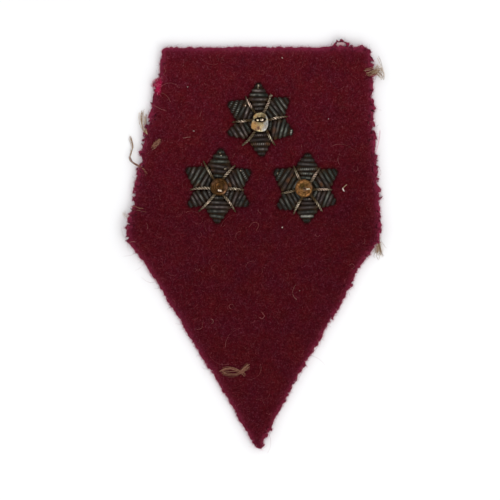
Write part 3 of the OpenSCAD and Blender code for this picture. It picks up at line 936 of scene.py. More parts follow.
def spring(turns, turn_pitch, coil_radius, wire_radius, plies=1, steps=COIL_STEPS, sides=WIRE_SIDES):
    """A spring along X that starts at the origin. The wire ends underneath. Measures are in mm."""
    deselect_all()
    sections = []
    for ply in range(plies):
        turn = math.pi + 2 * math.pi * ply / plies
        bpy.ops.mesh.primitive_circle_add(
            vertices=sides, radius=wire_radius * MM, rotation=(math.pi / 2 + turn, 0, 0),
            location=(0, -math.sin(turn) * coil_radius * MM, math.cos(turn) * coil_radius * MM))
        sections.append(bpy.context.object)
    wound = join(sections, "spring")
    place_in_mesh(wound)
    screw = wound.modifiers.new("wind", "SCREW")
    screw.axis = "X"
    screw.angle = 2 * math.pi
    screw.screw_offset = turn_pitch * MM
    screw.iterations = turns
    screw.steps = screw.render_steps = steps
    bpy.ops.object.modifier_apply(modifier="wind")
    bpy.ops.object.mode_set(mode="EDIT")
    bpy.ops.mesh.select_all(action="SELECT")
    bpy.ops.mesh.fill_holes(sides=sides)
    bpy.ops.mesh.normals_make_consistent(inside=False)
    bpy.ops.object.mode_set(mode="OBJECT")
    return wound


# %% Bend a piece along an arch
# An arch whose two handles stand equally high rises to this share of their height.
ARCH_RISE = 0.75


def arch(start, start_handle, end_handle, end):
    """A Bezier curve, its points given in mm."""
    deselect_all()
    bpy.ops.curve.primitive_bezier_curve_add(location=(0, 0, 0))
    path = bpy.context.object
    first, last = path.data.splines[0].bezier_points
    for point in (first, last):
        point.handle_left_type = point.handle_right_type = "FREE"
    first.co, first.handle_right = start * MM, start_handle * MM
    first.handle_left = (start * 2 - start_handle) * MM
    last.co, last.handle_left = end * MM, end_handle * MM
    last.handle_right = (end * 2 - end_handle) * MM
    path.data.resolution_u = 16
    path.data.twist_mode = "Z_UP"
    return path


def bend(piece, path):
    """Bends a piece that lies along X so that it follows the path, and drops the path."""
    follow = piece.modifiers.new("follow", "CURVE")
    follow.object = path
    pick(piece)
    bpy.ops.object.modifier_apply(modifier="follow")
    bpy.data.objects.remove(path)
    bpy.ops.object.shade_smooth()


def give(piece, **values):
    """Gives every point of a piece the same value of each named attribute."""
    for name, value in values.items():
        keep(piece, name, [value] * len(piece.data.vertices))


# %% [markdown]
# ## The rays
# A ray is a small mound of thread with six lengths of purl laid across it. Each length
# follows an arch from one side of the ray over the mound to the other side.

# %% A mound of thread
# How far a mound reaches down into the nap, mm
MOUND_FOOT = 0.02


def mound(corners, side, top, narrowing):
    """A low closed mound over a plan whose corners are in mm."""
    deselect_all()
    bpy.ops.mesh.primitive_circle_add(vertices=len(corners), radius=MM, fill_type="NGON")
    piece = bpy.context.object
    for point, corner in zip(piece.data.vertices, corners):
        point.co = Vector((corner.x, corner.y, STAR_BASE - MOUND_FOOT)) * MM
    bpy.ops.object.mode_set(mode="EDIT")
    bpy.ops.mesh.select_all(action="SELECT")
    bpy.ops.mesh.extrude_region_move(TRANSFORM_OT_translate={"value": (0, 0, side * MM)})
    bpy.ops.mesh.inset(thickness=narrowing * MM, depth=0)
    bpy.ops.transform.translate(value=(0, 0, top * MM))
    bpy.ops.mesh.select_all(action="SELECT")
    bpy.ops.mesh.normals_make_consistent(inside=False)
    bpy.ops.object.mode_set(mode="OBJECT")
    return piece


# %% Padding of a star
# Height of the side, rise of the top over it and its narrowing, mm
RAY_MOUND = (0.14, 0.26, 0.3)
MIDDLE_MOUND = (0.45, 0.12, 0.4)
CORE_MOUND = (0.80, 0.14, 0.3)
# The middle mound fills the star, and the core stands under the sequin. Their radii, mm
MIDDLE_RADIUS = 1.75
CORE_RADIUS = 0.75
# How much wider a ray's mound is than its plan, as a share, and how round its edges are, mm
MOUND_SPREAD = 0.02
MOUND_ROUNDING = 0.08


def round_plan(middle, radius):
    return [middle + polar(radius, 30 * i) for i in range(12)]


def padding(star):
    middle = star_middle(star)
    mounds = []
    for k in range(STAR_POINTS):
        outline = ray_outline(star, k)
        centre = sum(outline, Vector((0, 0))) / len(outline)
        plan = [corner.lerp(centre, -MOUND_SPREAD) + middle for corner in outline]
        mounds.append(mound(plan, *RAY_MOUND))
    mounds.append(mound(round_plan(middle, MIDDLE_RADIUS), *MIDDLE_MOUND))
    under = middle + Vector(SEQUIN_PLACE[star])
    mounds.append(mound(round_plan(under, CORE_RADIUS), *CORE_MOUND))
    pad = join(mounds, star + "_padding")
    rounding = pad.modifiers.new("rounding", "BEVEL")
    rounding.width = MOUND_ROUNDING * MM
    rounding.segments = 2
    apply_modifiers(pad)
    bpy.ops.object.shade_smooth()
    dress(pad, padding_thread)
    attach(pad, "root")
    return pad


# %% Where a rib starts and ends
# Ribs in a ray, the first one's distance from the star's middle and the last one's from the
# ray's tip, mm
RIBS = 6
FIRST_RIB = 1.9
TIP_REST = 0.4
# How far the ribs' ends stand out of the plan, in the valleys and outside them, mm. A minus
# keeps them inside it. The valleys' value holds up to VALLEY_END from the star's middle, and
# the other one from FREE_AFTER further on.
VALLEY_OVERHANG, FREE_OVERHANG = -0.18, -0.10
VALLEY_END, FREE_AFTER = 2.9, 1.3


def overhang(distance):
    share = min(1.0, max(0.0, (distance - VALLEY_END) / FREE_AFTER))
    return VALLEY_OVERHANG + (FREE_OVERHANG - VALLEY_OVERHANG) * share


def rib_span(outline, along, distance):
    """Where the line of a rib enters and leaves the ray, measured across the ray."""
    across = Vector((-along.y, along.x))
    cuts = []
    for a, b in zip(outline, outline[1:] + outline[:1]):
        before, after = a.dot(along) - distance, b.dot(along) - distance
        if before * after < 0:
            cuts.append(a.lerp(b, before / (before - after)).dot(across))
    return min(cuts) - overhang(distance), max(cuts) + overhang(distance)


# %% Arch of a rib
# The top of a rib over the star's base, mm. It sinks a little towards the ray's tip.
RIB_TOP = 0.78
RAY_SLOPE = math.tan(math.radians(4))
RIB_STEEPNESS = math.radians(76)


def rib_arch(star, k, i, draw):
    """The arch that the i-th rib of ray k follows over the padding. No two lie quite alike."""
    angle, tip_radius, slant = RAYS[star][k]
    middle = star_middle(star)
    distance = FIRST_RIB + i * (tip_radius - TIP_REST - FIRST_RIB) / (RIBS - 1) + draw.uniform(-0.06, 0.06)
    along = polar(1, angle + slant + draw.uniform(-4, 4))
    across = Vector((-along.y, along.x))
    low, high = rib_span(ray_outline(star, k), along, distance)
    top = STAR_BASE + RIB_TOP - distance * RAY_SLOPE + draw.uniform(-0.12, 0.03)
    rise = min(top - STAR_BASE, 0.9 * (high - low) / 2)
    ends = [middle + along * (distance + draw.uniform(-0.07, 0.07))
            + across * (s + draw.uniform(-0.06, 0.06)) for s in (low, high)]
    start, end = (Vector((p.x, p.y, top - rise)) for p in ends)
    reach = rise / (ARCH_RISE * math.sin(RIB_STEEPNESS))
    flat = (end - start).normalized() * math.cos(RIB_STEEPNESS)
    lift = Vector((0, 0, math.sin(RIB_STEEPNESS)))
    return arch(start, start + (flat + lift) * reach, end + (lift - flat) * reach, end)


# %% Rub, stain and paint a highlight on a rib
RIB_RADIUS, TIP_RADIUS = 0.36, 0.27
# How narrowly the painted highlight follows the top, and how much of it is lost far from the
# peak and, as painted shade, at the ends
HIGHLIGHT_NARROW, HIGHLIGHT_PEAK_LOSS, END_PAINTED_SHADE = 8, 0.8, 0.95


def rub_and_paint_highlight(piece, length, radius, strength, peak, dust):
    """Rubs a straight length of purl and paints a highlight on it. It is brightest along its top,
    near the peak, which goes from -1 at its start to 1 at its end. Its ends are painted dark as
    shade, with dust from the padding."""
    shine, warmth = [], []
    for point in piece.data.vertices:
        # A painted highlight: narrow along the top, brightest at the peak, with painted shade at the ends.
        height = max(0.0, point.co.z / (radius * MM))
        share = 2 * point.co.x / (length * MM) - 1
        away = min(1.0, abs(share - peak) / (1 + abs(peak) * 0.4))
        end = min(1.0, abs(share)) ** 3
        shine.append(strength * height ** HIGHLIGHT_NARROW * (1 - HIGHLIGHT_PEAK_LOSS * away ** 1.4) * (1 - END_PAINTED_SHADE * end))
        warmth.append(dust * end + 0.4 * dust * max(0.0, 0.6 - height))
    keep(piece, "shine", shine)
    keep(piece, "warmth", warmth)


def stain(piece, name, strokes, grooves=()):
    """Stains a piece in soft round strokes: x, y and radius in mm, and strength.
    A groove is a ring of stain round the origin: its radius, half width and strength."""
    values = []
    for point in piece.data.vertices:
        x, y, _ = point.co / MM
        here = [s * max(0.0, 1 - math.hypot(x - sx, y - sy) / r) for sx, sy, r, s in strokes]
        here += [s * max(0.0, 1 - abs(math.hypot(x, y) - r) / w) for r, w, s in grooves]
        values.append(max(here))
    keep(piece, name, values)


# %% How the ribs look
# Rays and ribs count from 0, ribs from the sequin outwards. The peak is where the painted
# highlight is brightest, from -1 at the clockwise end to 1 at the other. A coarse rib is wound of
# thicker wire, and glints in dots.
RIB_LOOKS = {
    # (star, ray, rib): (shine, peak, hue, coarse)
    ("star_top", 0, 1): (0.65, 0.0, 0.8, False), ("star_top", 0, 3): (1.2, 0.8, 0.0, False),
    ("star_top", 0, 4): (1.15, 0.7, 0.8, False), ("star_top", 1, 3): (0.7, 0.4, 0.2, True),
    ("star_top", 1, 4): (0.9, 0.0, 0.5, True), ("star_top", 1, 5): (0.9, 0.0, 0.5, True),
    ("star_top", 2, 2): (0.8, 0.3, 0.8, False), ("star_top", 2, 3): (0.9, 0.3, 0.8, False),
    ("star_top", 2, 4): (0.85, 0.3, 0.7, False), ("star_top", 3, 0): (0.3, 0.0, 0.3, True),
    ("star_top", 3, 1): (0.6, 0.0, 0.8, True), ("star_top", 3, 2): (0.15, 0.0, 1.0, False),
    ("star_top", 3, 3): (1.0, 0.0, 0.9, True), ("star_top", 3, 4): (0.6, 0.2, 0.9, False),
    ("star_top", 4, 1): (0.4, 0.0, 0.9, False), ("star_top", 4, 3): (0.8, -0.3, 0.0, False),
    ("star_top", 4, 4): (1.0, -0.1, 0.1, False), ("star_top", 4, 5): (2.2, 0.1, 0.1, False),
    ("star_top", 5, 1): (0.9, -0.6, 0.0, False), ("star_top", 5, 3): (0.8, -0.5, 0.0, False),
    ("star_top", 5, 4): (1.3, -0.3, 0.5, False),
    ("star_left", 0, 1): (0.35, 0.0, 1.0, False), ("star_left", 0, 2): (0.45, 0.0, 1.0, False),
    ("star_left", 0, 3): (0.75, 0.0, 0.0, False), ("star_left", 0, 4): (0.7, -0.1, 0.2, False),
    ("star_left", 1, 1): (0.8, 0.2, 0.6, False), ("star_left", 1, 2): (1.0, 0.1, 0.1, False),
    ("star_left", 1, 3): (1.0, 0.0, 0.2, False), ("star_left", 1, 4): (0.9, 0.0, 0.4, False),
    ("star_left", 3, 2): (0.75, 0.0, 0.8, False), ("star_left", 3, 3): (0.9, -0.1, 0.4, False),
    ("star_left", 3, 4): (0.75, 0.0, 0.2, False), ("star_left", 5, 0): (1.0, -0.5, 0.9, False),
    ("star_left", 5, 1): (0.85, -0.2, 0.7, False), ("star_left", 5, 3): (0.95, -0.1, 0.1, False),
    ("star_left", 5, 4): (0.7, -0.2, 0.6, True),
    ("star_right", 0, 0): (1.0, 0.0, 0.2, False), ("star_right", 0, 1): (1.5, -0.1, 0.2, True),
    ("star_right", 0, 2): (1.6, 0.1, 0.3, True), ("star_right", 1, 0): (1.5, 0.0, 0.4, False),
    ("star_right", 1, 3): (0.8, 0.0, 0.3, False), ("star_right", 1, 4): (0.8, -0.3, 0.2, True),
    ("star_right", 3, 1): (0.4, 0.0, 0.9, False), ("star_right", 3, 3): (0.6, 0.0, 0.2, False),
    ("star_right", 3, 4): (4.8, -0.1, 0.2, False), ("star_right", 4, 0): (1.6, 0.3, 0.0, False),
    ("star_right", 4, 1): (0.7, -0.2, 0.9, False), ("star_right", 4, 3): (1.3, 0.3, 0.1, False),
    ("star_right", 5, 1): (0.65, -0.4, 0.9, False), ("star_right", 5, 4): (0.8, 0.2, 0.0, False),
}
# Ribs with brown dust although they lie far out
DUSTY = {("star_top", 2, 3), ("star_top", 3, 3), ("star_left", 0, 3), ("star_right", 1, 3),
         ("star_right", 5, 3)}
# Rusty spots: x and y from the star's middle, radius, all in mm, and strength
RUST = {
    "star_top": [(1.29, -4.37, 0.60, 1.2), (-0.77, -4.28, 0.50, 0.6), (2.45, -1.95, 0.80, 0.8),
                 (-2.83, 2.52, 0.40, 1.0), (-3.50, -0.88, 0.60, 0.5)],
    "star_left": [(2.06, 0.36, 0.65, 1.2), (-1.25, 3.30, 0.60, 0.9), (2.70, 3.00, 0.50, 0.7),
                  (-3.60, 0.25, 0.60, 0.6)],
    "star_right": [(-3.06, 1.36, 0.80, 1.2), (-2.35, 2.35, 0.60, 1.0), (2.76, 0.73, 0.60, 1.1),
                   (-1.60, -2.60, 0.50, 0.5)],
}
# How much of the silver still shows on each star
RUBBED = {"star_top": 0.66, "star_left": 0.60, "star_right": 0.50}
print("ribs that are set by hand:", len(RIB_LOOKS))

# %% Wind the ribs of a ray
# Radius of the wire and pitch of its turns, mm
RIB_WIRE, RIB_PITCH = 0.10, 0.215
COARSE_WIRE, COARSE_PITCH = 0.145, 0.33
TIP_SHINE = 0.15
# The ribs nearest to the sequin, where dust gathers
INNER_RIBS = 3


def ray(star, k):
    draw = random.Random(f"{star} ray {k}")
    ribs = []
    for i in range(RIBS):
        tip = i == RIBS - 1
        plain = (
            TIP_SHINE if tip else draw.uniform(0.4, 0.75), draw.uniform(-0.3, 0.3), draw.random(), False)
        shine, peak, hue, coarse = RIB_LOOKS.get((star, k, i), plain)
        path = rib_arch(star, k, i, draw)
        length = path.data.splines[0].calc_length() / MM
        wire, pitch = (COARSE_WIRE, COARSE_PITCH) if coarse else (RIB_WIRE, RIB_PITCH)
        turns = max(2, round(length / pitch))
        radius = TIP_RADIUS if tip else RIB_RADIUS
        piece = spring(turns, length / turns, radius - wire, wire)
        dusty = i < INNER_RIBS or (star, k, i) in DUSTY
        dust = draw.uniform(0.5, 1.0) if dusty else draw.uniform(0.1, 0.5)
        rub_and_paint_highlight(piece, length, radius, shine * RUBBED[star], peak, dust)
        give(piece, hue=hue)
        bend(piece, path)
        ribs.append(piece)
    whole = join(ribs, f"{star}_purl_{k + 1}")
    middle = star_middle(star)
    stain(whole, "rust", [(middle.x + x, middle.y + y, r, s) for x, y, r, s in RUST[star]])
    dress(whole, tarnished_purl)
    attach(whole, "root")
    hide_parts(f"{star}_ray_{k + 1}")
    return whole


for star in STARS:
    padding(star)
    made = [ray(star, k) for k in range(STAR_POINTS)]
    print(star, "rays:", sum(triangles(piece) for piece in made), "triangles")

# %% [markdown]
# ## The wires in the valleys
# Between two rays a bright wire of two twisted plies runs out from under the sequin and
# dives into the cloth. Two plies are one spring wound from two sections at once. A wire is
# rubbed bright and carries a painted highlight where it stands highest; it is a little swollen
# there and thins to its end. The highlight stays off the groove between its plies, which is
# painted darker as shade.

# %% Path of a wire
WIRE_LOOKS = {
    # radius of the brightest place, rubbed and with a painted highlight, how far it shines inwards
    # and outwards, shine, and bow to the left, all but the shine in mm
    "star_top": [(3.1, 0.9, 1.6, 1.9, 0.10), (3.15, 0.85, 1.15, 1.4, 0.0), (4.1, 2.4, 2.6, 0.32, 0.32),
                 (3.4, 0.6, 1.5, 1.1, -0.22), (2.6, 0.8, 2.1, 1.5, 0.12), (3.1, 2.6, 2.4, 0.8, -0.20)],
    "star_left": [(3.2, 1.2, 1.2, 1.1, 0.05), (3.3, 4.0, 1.6, 1.0, -0.22), (3.4, 2.4, 2.0, 1.0, 0.10),
                  (3.2, 1.4, 1.8, 1.1, 0.15), (2.9, 1.8, 1.7, 1.0, 0.08), (2.7, 0.9, 2.1, 1.3, 0.05)],
    "star_right": [(2.7, 1.2, 1.7, 0.75, 0.08), (3.2, 1.3, 1.3, 0.55, 0.05), (3.2, 1.0, 1.8, 1.3, -0.12),
                   (3.8, 1.6, 1.4, 0.8, 0.10), (3.2, 1.5, 1.5, 1.2, 0.03), (2.8, 2.2, 1.6, 0.75, 0.05)],
}
# The hump of each wire over the padding, mm. One wire is a short loop that stands up.
WIRE_HUMP = {("star_top", 1): 0.9}
USUAL_HUMP = 0.3
# The heights of a wire's start and end over the star's base, mm
WIRE_FROM, WIRE_TO = 0.80, -0.20


def wire_path(star, k):
    middle = star_middle(star)
    foot, end = (middle + p for p in wire_ends(star, k))
    start = Vector((foot.x, foot.y, STAR_BASE + WIRE_FROM))
    finish = Vector((end.x, end.y, STAR_BASE + WIRE_TO))
    third = (finish - start).length / 3
    outward = Vector((end.x - foot.x, end.y - foot.y, 0)).normalized()
    aside = Vector((-outward.y, outward.x, 0)) * WIRE_LOOKS[star][k][4] * 4 / 3
    hump = Vector((0, 0, WIRE_HUMP.get((star, k), USUAL_HUMP)))
    start_handle = start + outward * third + hump + aside
    end_handle = finish - outward * 0.8 * third + Vector((0, 0, 0.65)) * third + aside
    return arch(start, start_handle, end_handle, finish)


# %% Twist the wires
PLY_RADIUS = 0.142
PLY_PITCH = 0.95
# The thickness away from the brightest place, how much is added there, and how much is lost
# from a share of the length on, all as shares
WIRE_LEAST, WIRE_SWELL = 0.90, 0.22
WIRE_TAPER, TAPER_FROM = 0.5, 0.3
# The shine of a wire whose row says 1, and how much of it is lost out of reach
WIRE_SHINE, SHINE_LOSS = 0.72, 0.99


def twisted_wire(star, k):
    draw = random.Random(f"{star} wire {k}")
    bright_at, inwards, outwards, strength, _ = WIRE_LOOKS[star][k]
    path = wire_path(star, k)
    length = path.data.splines[0].calc_length() / MM
    turns = max(3, round(length / PLY_PITCH))
    piece = spring(turns, length / turns, PLY_RADIUS * 0.9, PLY_RADIUS, plies=2, steps=16, sides=8)
    shine = []
    for point in piece.data.vertices:
        x, y, z = point.co / MM
        radius = WIRE_START + (WIRES[star][k][2] - WIRE_START) * x / length
        reach = inwards if radius < bright_at else outwards
        away = min(1.0, abs(radius - bright_at) / reach)
        # The painted highlight fades towards the middle of the wire, so the groove between the plies is
        # painted darker as shade.
        groove = min(1.0, math.hypot(y, z) / (PLY_RADIUS * 1.9)) ** 1.2
        shine.append(WIRE_SHINE * strength * groove * (1 - SHINE_LOSS * away) ** 1.5)
        swell = WIRE_LEAST + WIRE_SWELL * (1 - away)
        thick = swell * (1 - WIRE_TAPER * max(0.0, x / length - TAPER_FROM))
        point.co.y *= thick
        point.co.z *= thick
    keep(piece, "shine", shine)
    give(piece, hue=draw.uniform(0.0, 0.7))
    bend(piece, path)
    piece.name = piece.data.name = f"{star}_twist_{k + 1}"
    dress(piece, bright_purl)
    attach(piece, "root")
    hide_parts(f"{star}_wire_{k + 1}")
    return piece


for star in STARS:
    made = [twisted_wire(star, k) for k in range(STAR_POINTS)]
    print(star, "wires:", sum(triangles(piece) for piece in made), "triangles")

# %% [markdown]
# ## The sequins
# A sequin is stamped from thin metal. It is drawn out ring by ring from the rim of its
# hole: extrude the ring, scale it, move it. Its rim is pushed out of round, and Solidify and
# Displace then make it a dented sheet. Stains are laid on it in soft round strokes.

# %% Draw out a sequin
SEQUIN_SIDES = 48
SEQUIN_SHEET = 0.09


def drawn(name, rings):
    """A sheet of rings from the hole out, each with half its width and half its length, and
    the x, y and height of its middle, in mm."""
    deselect_all()
    bpy.ops.mesh.primitive_circle_add(vertices=SEQUIN_SIDES, radius=MM)
    piece = bpy.context.object
    piece.name = piece.data.name = name
    bpy.ops.object.mode_set(mode="EDIT")
    bpy.ops.mesh.select_all(action="SELECT")
    half_w, half_l, *middle = rings[0]
    middle = Vector(middle)
    bpy.ops.transform.resize(value=(half_w, half_l, 1), center_override=(0, 0, 0))
    bpy.ops.transform.translate(value=middle * MM)
    for w, l, *spot in rings[1:]:
        spot = Vector(spot)
        bpy.ops.mesh.extrude_edges_move()
        bpy.ops.transform.resize(value=(w / half_w, l / half_l, 1), center_override=middle * MM)
        bpy.ops.transform.translate(value=(spot - middle) * MM)
        half_w, half_l, middle = w, l, spot
    bpy.ops.mesh.select_all(action="SELECT")
    bpy.ops.mesh.normals_make_consistent(inside=False)
    bpy.ops.object.mode_set(mode="OBJECT")
    if piece.data.polygons[0].normal.z < 0:
        bpy.ops.object.mode_set(mode="EDIT")
        bpy.ops.mesh.flip_normals()
        bpy.ops.object.mode_set(mode="OBJECT")
    return piece


# %% Dent it and give it its thickness
CROOKED_SIZE = 1.6


def pressed(piece, dent, dent_size, crooked):
    """Turns the drawn rings into a dented sheet. Crooked is how far its rim strays in plan, mm."""
    sheet = piece.modifiers.new("sheet", "SOLIDIFY")
    sheet.thickness = SEQUIN_SHEET * MM
    sheet.offset = -1
    smooth = piece.modifiers.new("smooth", "SUBSURF")
    smooth.levels = smooth.render_levels = 1
    rows = (("Z", dent, dent_size), ("X", crooked, CROOKED_SIZE), ("Y", crooked, CROOKED_SIZE))
    for direction, strength, size in rows:
        clouds = bpy.data.textures.new(piece.name + "_" + direction, "CLOUDS")
        clouds.noise_scale = size * MM
        dents = piece.modifiers.new("dents_" + direction, "DISPLACE")
        dents.texture = clouds
        dents.texture_coords = "LOCAL"
        dents.direction = direction
        dents.strength = strength * MM
    apply_modifiers(piece)
    bpy.ops.object.shade_smooth()


def bulge(piece, bulges):
    """Pushes the rim out or in. Each bulge is its angle, its share of the radius and how narrow it is."""
    widest = max(point.co.xy.length for point in piece.data.vertices)
    for point in piece.data.vertices:
        angle = math.atan2(point.co.y, point.co.x)
        push = sum(much * max(0.0, math.cos(angle - math.radians(at))) ** narrow
                   for at, much, narrow in bulges)
        point.co.xy *= 1 + push * (point.co.xy.length / widest) ** 2


def set_at(piece, x, y, z):
    """Moves a piece that was made at the origin to its place, in mm, and keeps the place in its mesh."""
    piece.location = Vector((x, y, z)) * MM
    place_in_mesh(piece)


# %% Rings of the sequins
CUP_RINGS = [
    # half width, half length, middle x, middle y, height
    (0.13, 0.12, 0.06, 0.00, 0.05), (0.34, 0.32, 0.06, 0.00, 0.01), (0.54, 0.52, 0.04, 0.00, 0.03),
    (0.64, 0.62, 0.02, 0.00, 0.12), (0.74, 0.72, 0.01, 0.00, 0.10), (0.88, 0.86, 0.00, 0.00, 0.26),
    (0.98, 0.96, 0.00, 0.00, 0.34), (1.06, 1.05, 0.00, 0.00, 0.29), (1.17, 1.16, 0.00, 0.00, 0.39),
    (1.28, 1.27, 0.00, 0.00, 0.37), (1.36, 1.36, 0.00, 0.00, 0.29), (1.46, 1.46, 0.00, 0.00, 0.28),
    (1.55, 1.56, 0.00, 0.00, 0.16), (1.60, 1.62, 0.00, 0.00, 0.02),
]
EYE_RINGS = [
    (0.96, 0.38, 0.02, 0.40, 0.05), (1.04, 0.46, 0.02, 0.40, 0.22), (1.12, 0.60, 0.01, 0.38, 0.31),
    (1.20, 0.98, 0.00, 0.26, 0.33), (1.34, 1.38, 0.00, 0.10, 0.33), (1.44, 1.63, 0.00, 0.02, 0.26),
    (1.50, 1.74, 0.00, 0.00, 0.10),
]
# Bulges of the rim: angle, share of the radius and how narrow
BULGES = {"star_top": [(212, 0.21, 8), (48, 0.05, 6), (-44, 0.13, 8), (132, 0.05, 10), (165, -0.06, 6)],
          "star_left": [(200, 0.03, 3)], "star_right": [(120, 0.03, 4), (-60, 0.02, 4)]}
print("rings of a cup and of the disc with an eye:", len(CUP_RINGS), len(EYE_RINGS))

# %% Stains of the sequins
STAINS = {
    # stain: strokes, each x, y and radius in mm, and strength
    "star_top": {"orange_stain": [(-1.1, -0.7, 1.1, 1.6), (-0.3, -1.0, 0.7, 0.9), (-0.9, 1.3, 0.5, 1.2)],
                 "grey_stain": [(1.35, -0.3, 0.85, 2.2), (0.95, -1.3, 0.8, 1.6), (1.3, 0.9, 0.6, 1.2)],
                 "pink_stain": [(-0.35, -1.05, 0.42, 1.6), (-0.75, -1.35, 0.35, 1.2),
                                (0.05, -1.35, 0.25, 0.9)],
                 "dark_stain": [(0.55, 1.05, 0.75, 1.5), (-1.35, 0.6, 0.5, 1.4), (1.5, -1.7, 0.7, 1.2),
                                (-1.5, -1.7, 0.6, 1.3), (0.02, 0.35, 1.15, 0.9)]},
    "star_left": {"dark_stain": [(0.0, 0.3, 0.8, 0.6), (-0.9, 0.9, 0.7, 0.9), (0.6, 0.9, 0.5, 0.8),
                                 (-0.5, -0.6, 0.6, 0.6)],
                  "pink_stain": [(1.3, -0.2, 0.7, 1.3), (-1.3, 0.7, 0.6, 0.9), (0.9, -1.1, 0.5, 0.9)]},
    "star_right": {"dark_stain": [(-0.25, 0.35, 0.75, 2.0), (0.5, 0.55, 0.5, 0.9), (0.9, -0.7, 0.5, 0.8)],
                   "pink_stain": [(0.2, -0.15, 0.5, 1.8), (1.3, 0.5, 0.5, 1.0)]},
}
# Dark rings in the pressed grooves: radius and half width in mm, and strength
GROOVES = {"star_left": [(0.74, 0.11, 1.0), (1.06, 0.10, 1.3), (1.42, 0.12, 0.9)],
           "star_right": [(0.74, 0.10, 0.5), (1.07, 0.08, 0.7), (1.42, 0.10, 0.5)]}
FRECKLES = [
    # star, stain, how many, how far out in mm
    ("star_top", "orange_stain", 7, 1.2), ("star_top", "pink_stain", 6, 1.0),
    ("star_top", "dark_stain", 7, 1.4), ("star_top", "grey_stain", 5, 1.2),
    ("star_left", "dark_stain", 6, 1.2), ("star_left", "pink_stain", 4, 1.2),
    ("star_right", "dark_stain", 9, 1.2), ("star_right", "pink_stain", 5, 1.2),
]
draw = random.Random("freckles")
for star, kind, many, spread_out in FRECKLES:
    STAINS[star][kind] += [
        (draw.uniform(-1, 1) * spread_out, draw.uniform(-1.1, 1.1) * spread_out, draw.uniform(0.12, 0.3),
         draw.uniform(0.5, 1.1)) for _ in range(many)]
print("strokes of stain:", sum(len(strokes) for kinds in STAINS.values() for strokes in kinds.values()))

# %% The three sequins
def sequin_spot(star):
    """The middle of a sequin's solid in plan and the height of its underside, in mm."""
    low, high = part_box(star + "_boss")
    x, y = ((a + b) / 2 / MM for a, b in zip(low[:2], high[:2]))
    return x, y, low[2] / MM


SEQUIN_LOOKS = {
    # rings, material, slot, dent, size of the dents, how crooked the rim is, all in mm
    "star_top": (EYE_RINGS, worn_sequin, "worn_sequin", 0.22, 0.7, 0.25),
    "star_left": (CUP_RINGS, dark_gilt, "gilt_sequin", 0.07, 0.9, 0.12),
    "star_right": (CUP_RINGS, gilt_sequin, "gilt_sequin", 0.17, 0.55, 0.16),
}
for star in STARS:
    rings, material, slot, dent, dent_size, crooked = SEQUIN_LOOKS[star]
    sequin = drawn(star + "_sequin", rings)
    bulge(sequin, BULGES[star])
    pressed(sequin, dent, dent_size, crooked)
    for name, strokes in STAINS[star].items():
        stain(sequin, name, strokes, GROOVES.get(star, ()) if name == "dark_stain" else ())
    set_at(sequin, *sequin_spot(star))
    dress(sequin, material)
    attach(sequin, "root")
    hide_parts(star + "_boss")
    print(sequin.name, triangles(sequin), "triangles")

# %% [markdown]
# ## The chips that hold the sequins
# A short chip of bright purl comes up through the hole and goes down again, and so holds
# the sequin. The upper star has two of them side by side.

# %% Wind a chip
CHIP_TURNS = 4
# How much higher the handles of a chip's arch stand than its top
CHIP_HANDLES = 1.33


def chip(start, end, top, coil, wire, shine=1.2, turns=CHIP_TURNS):
    """A short spring that stands up from its start and goes down at its end, in mm."""
    rise = Vector((0, 0, top * CHIP_HANDLES))
    path = arch(start, start + rise, end + rise, end)
    length = path.data.splines[0].calc_length() / MM
    piece = spring(turns, length / turns, coil, wire, steps=12, sides=8)
    give(piece, shine=shine, hue=0.2)
    bend(piece, path)
    return piece


# %% Chips through the sequins
CHIPS = {
    # start, end (x, y from the sequin's middle), height of the top, coil radius, wire radius, mm
    "star_top": [((-0.48, 0.35), (-0.32, 0.36), 0.22, 0.12, 0.08),
                 ((0.26, 0.40), (0.46, 0.42), 0.24, 0.15, 0.09)],
    "star_left": [((-0.10, -0.62), (0.30, -0.74), 0.34, 0.13, 0.09)],
    "star_right": [((0.58, -0.13), (0.95, -0.15), 0.32, 0.11, 0.075)],
}
# Its foot stands this much over the sequin's underside, mm
CHIP_FOOT = 0.12
for star in STARS:
    x, y, underside = sequin_spot(star)
    foot = underside + CHIP_FOOT
    made = [chip(Vector((x + x1, y + y1, foot)), Vector((x + x2, y + y2, foot)), top, coil, wire)
            for (x1, y1), (x2, y2), top, coil, wire in CHIPS[star]]
    chips = join(made, star + "_chip")
    dress(chips, bright_purl)
    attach(chips, "root")
    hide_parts(star + "_bead")
    print(chips.name, triangles(chips), "triangles")

# %% [markdown]
# ## Wire ends
# Where a maker ended a length of wire, a tiny bright knot of it shows: at a ray's tip, and
# beside a valley wire. Each is a chip again, set by its distance and angle on its star.

# %% Knots of wire
KNOT_ARCH, KNOT_TURNS = 0.15, 3
KNOTS = {
    # angle, distance, length, turn of its length, height over the cloth, coil radius, wire
    # radius, shine
    "star_top": [(93, 6.10, 0.12, 90, 0.62, 0.11, 0.075, 0.5), (94, 5.65, 0.30, 90, 0.66, 0.05, 0.035, 0.3),
                 (66, 4.60, 0.40, 20, 0.60, 0.11, 0.075, 0.25),
                 (137, 3.60, 0.12, 60, 0.85, 0.07, 0.05, 0.6)],
    "star_left": [(85, 5.60, 0.08, 90, 0.66, 0.10, 0.07, 0.8), (87, 6.20, 0.20, 80, 0.50, 0.11, 0.07, 0.15),
                  (69, 3.45, 0.12, 0, 0.85, 0.09, 0.06, 0.8), (36, 4.95, 0.08, 0, 0.66, 0.06, 0.045, 0.9)],
    "star_right": [(-72, 1.95, 0.12, 0, 0.80, 0.06, 0.045, 0.7),
                   (152, 5.75, 0.14, 60, 0.60, 0.06, 0.045, 0.5)],
}
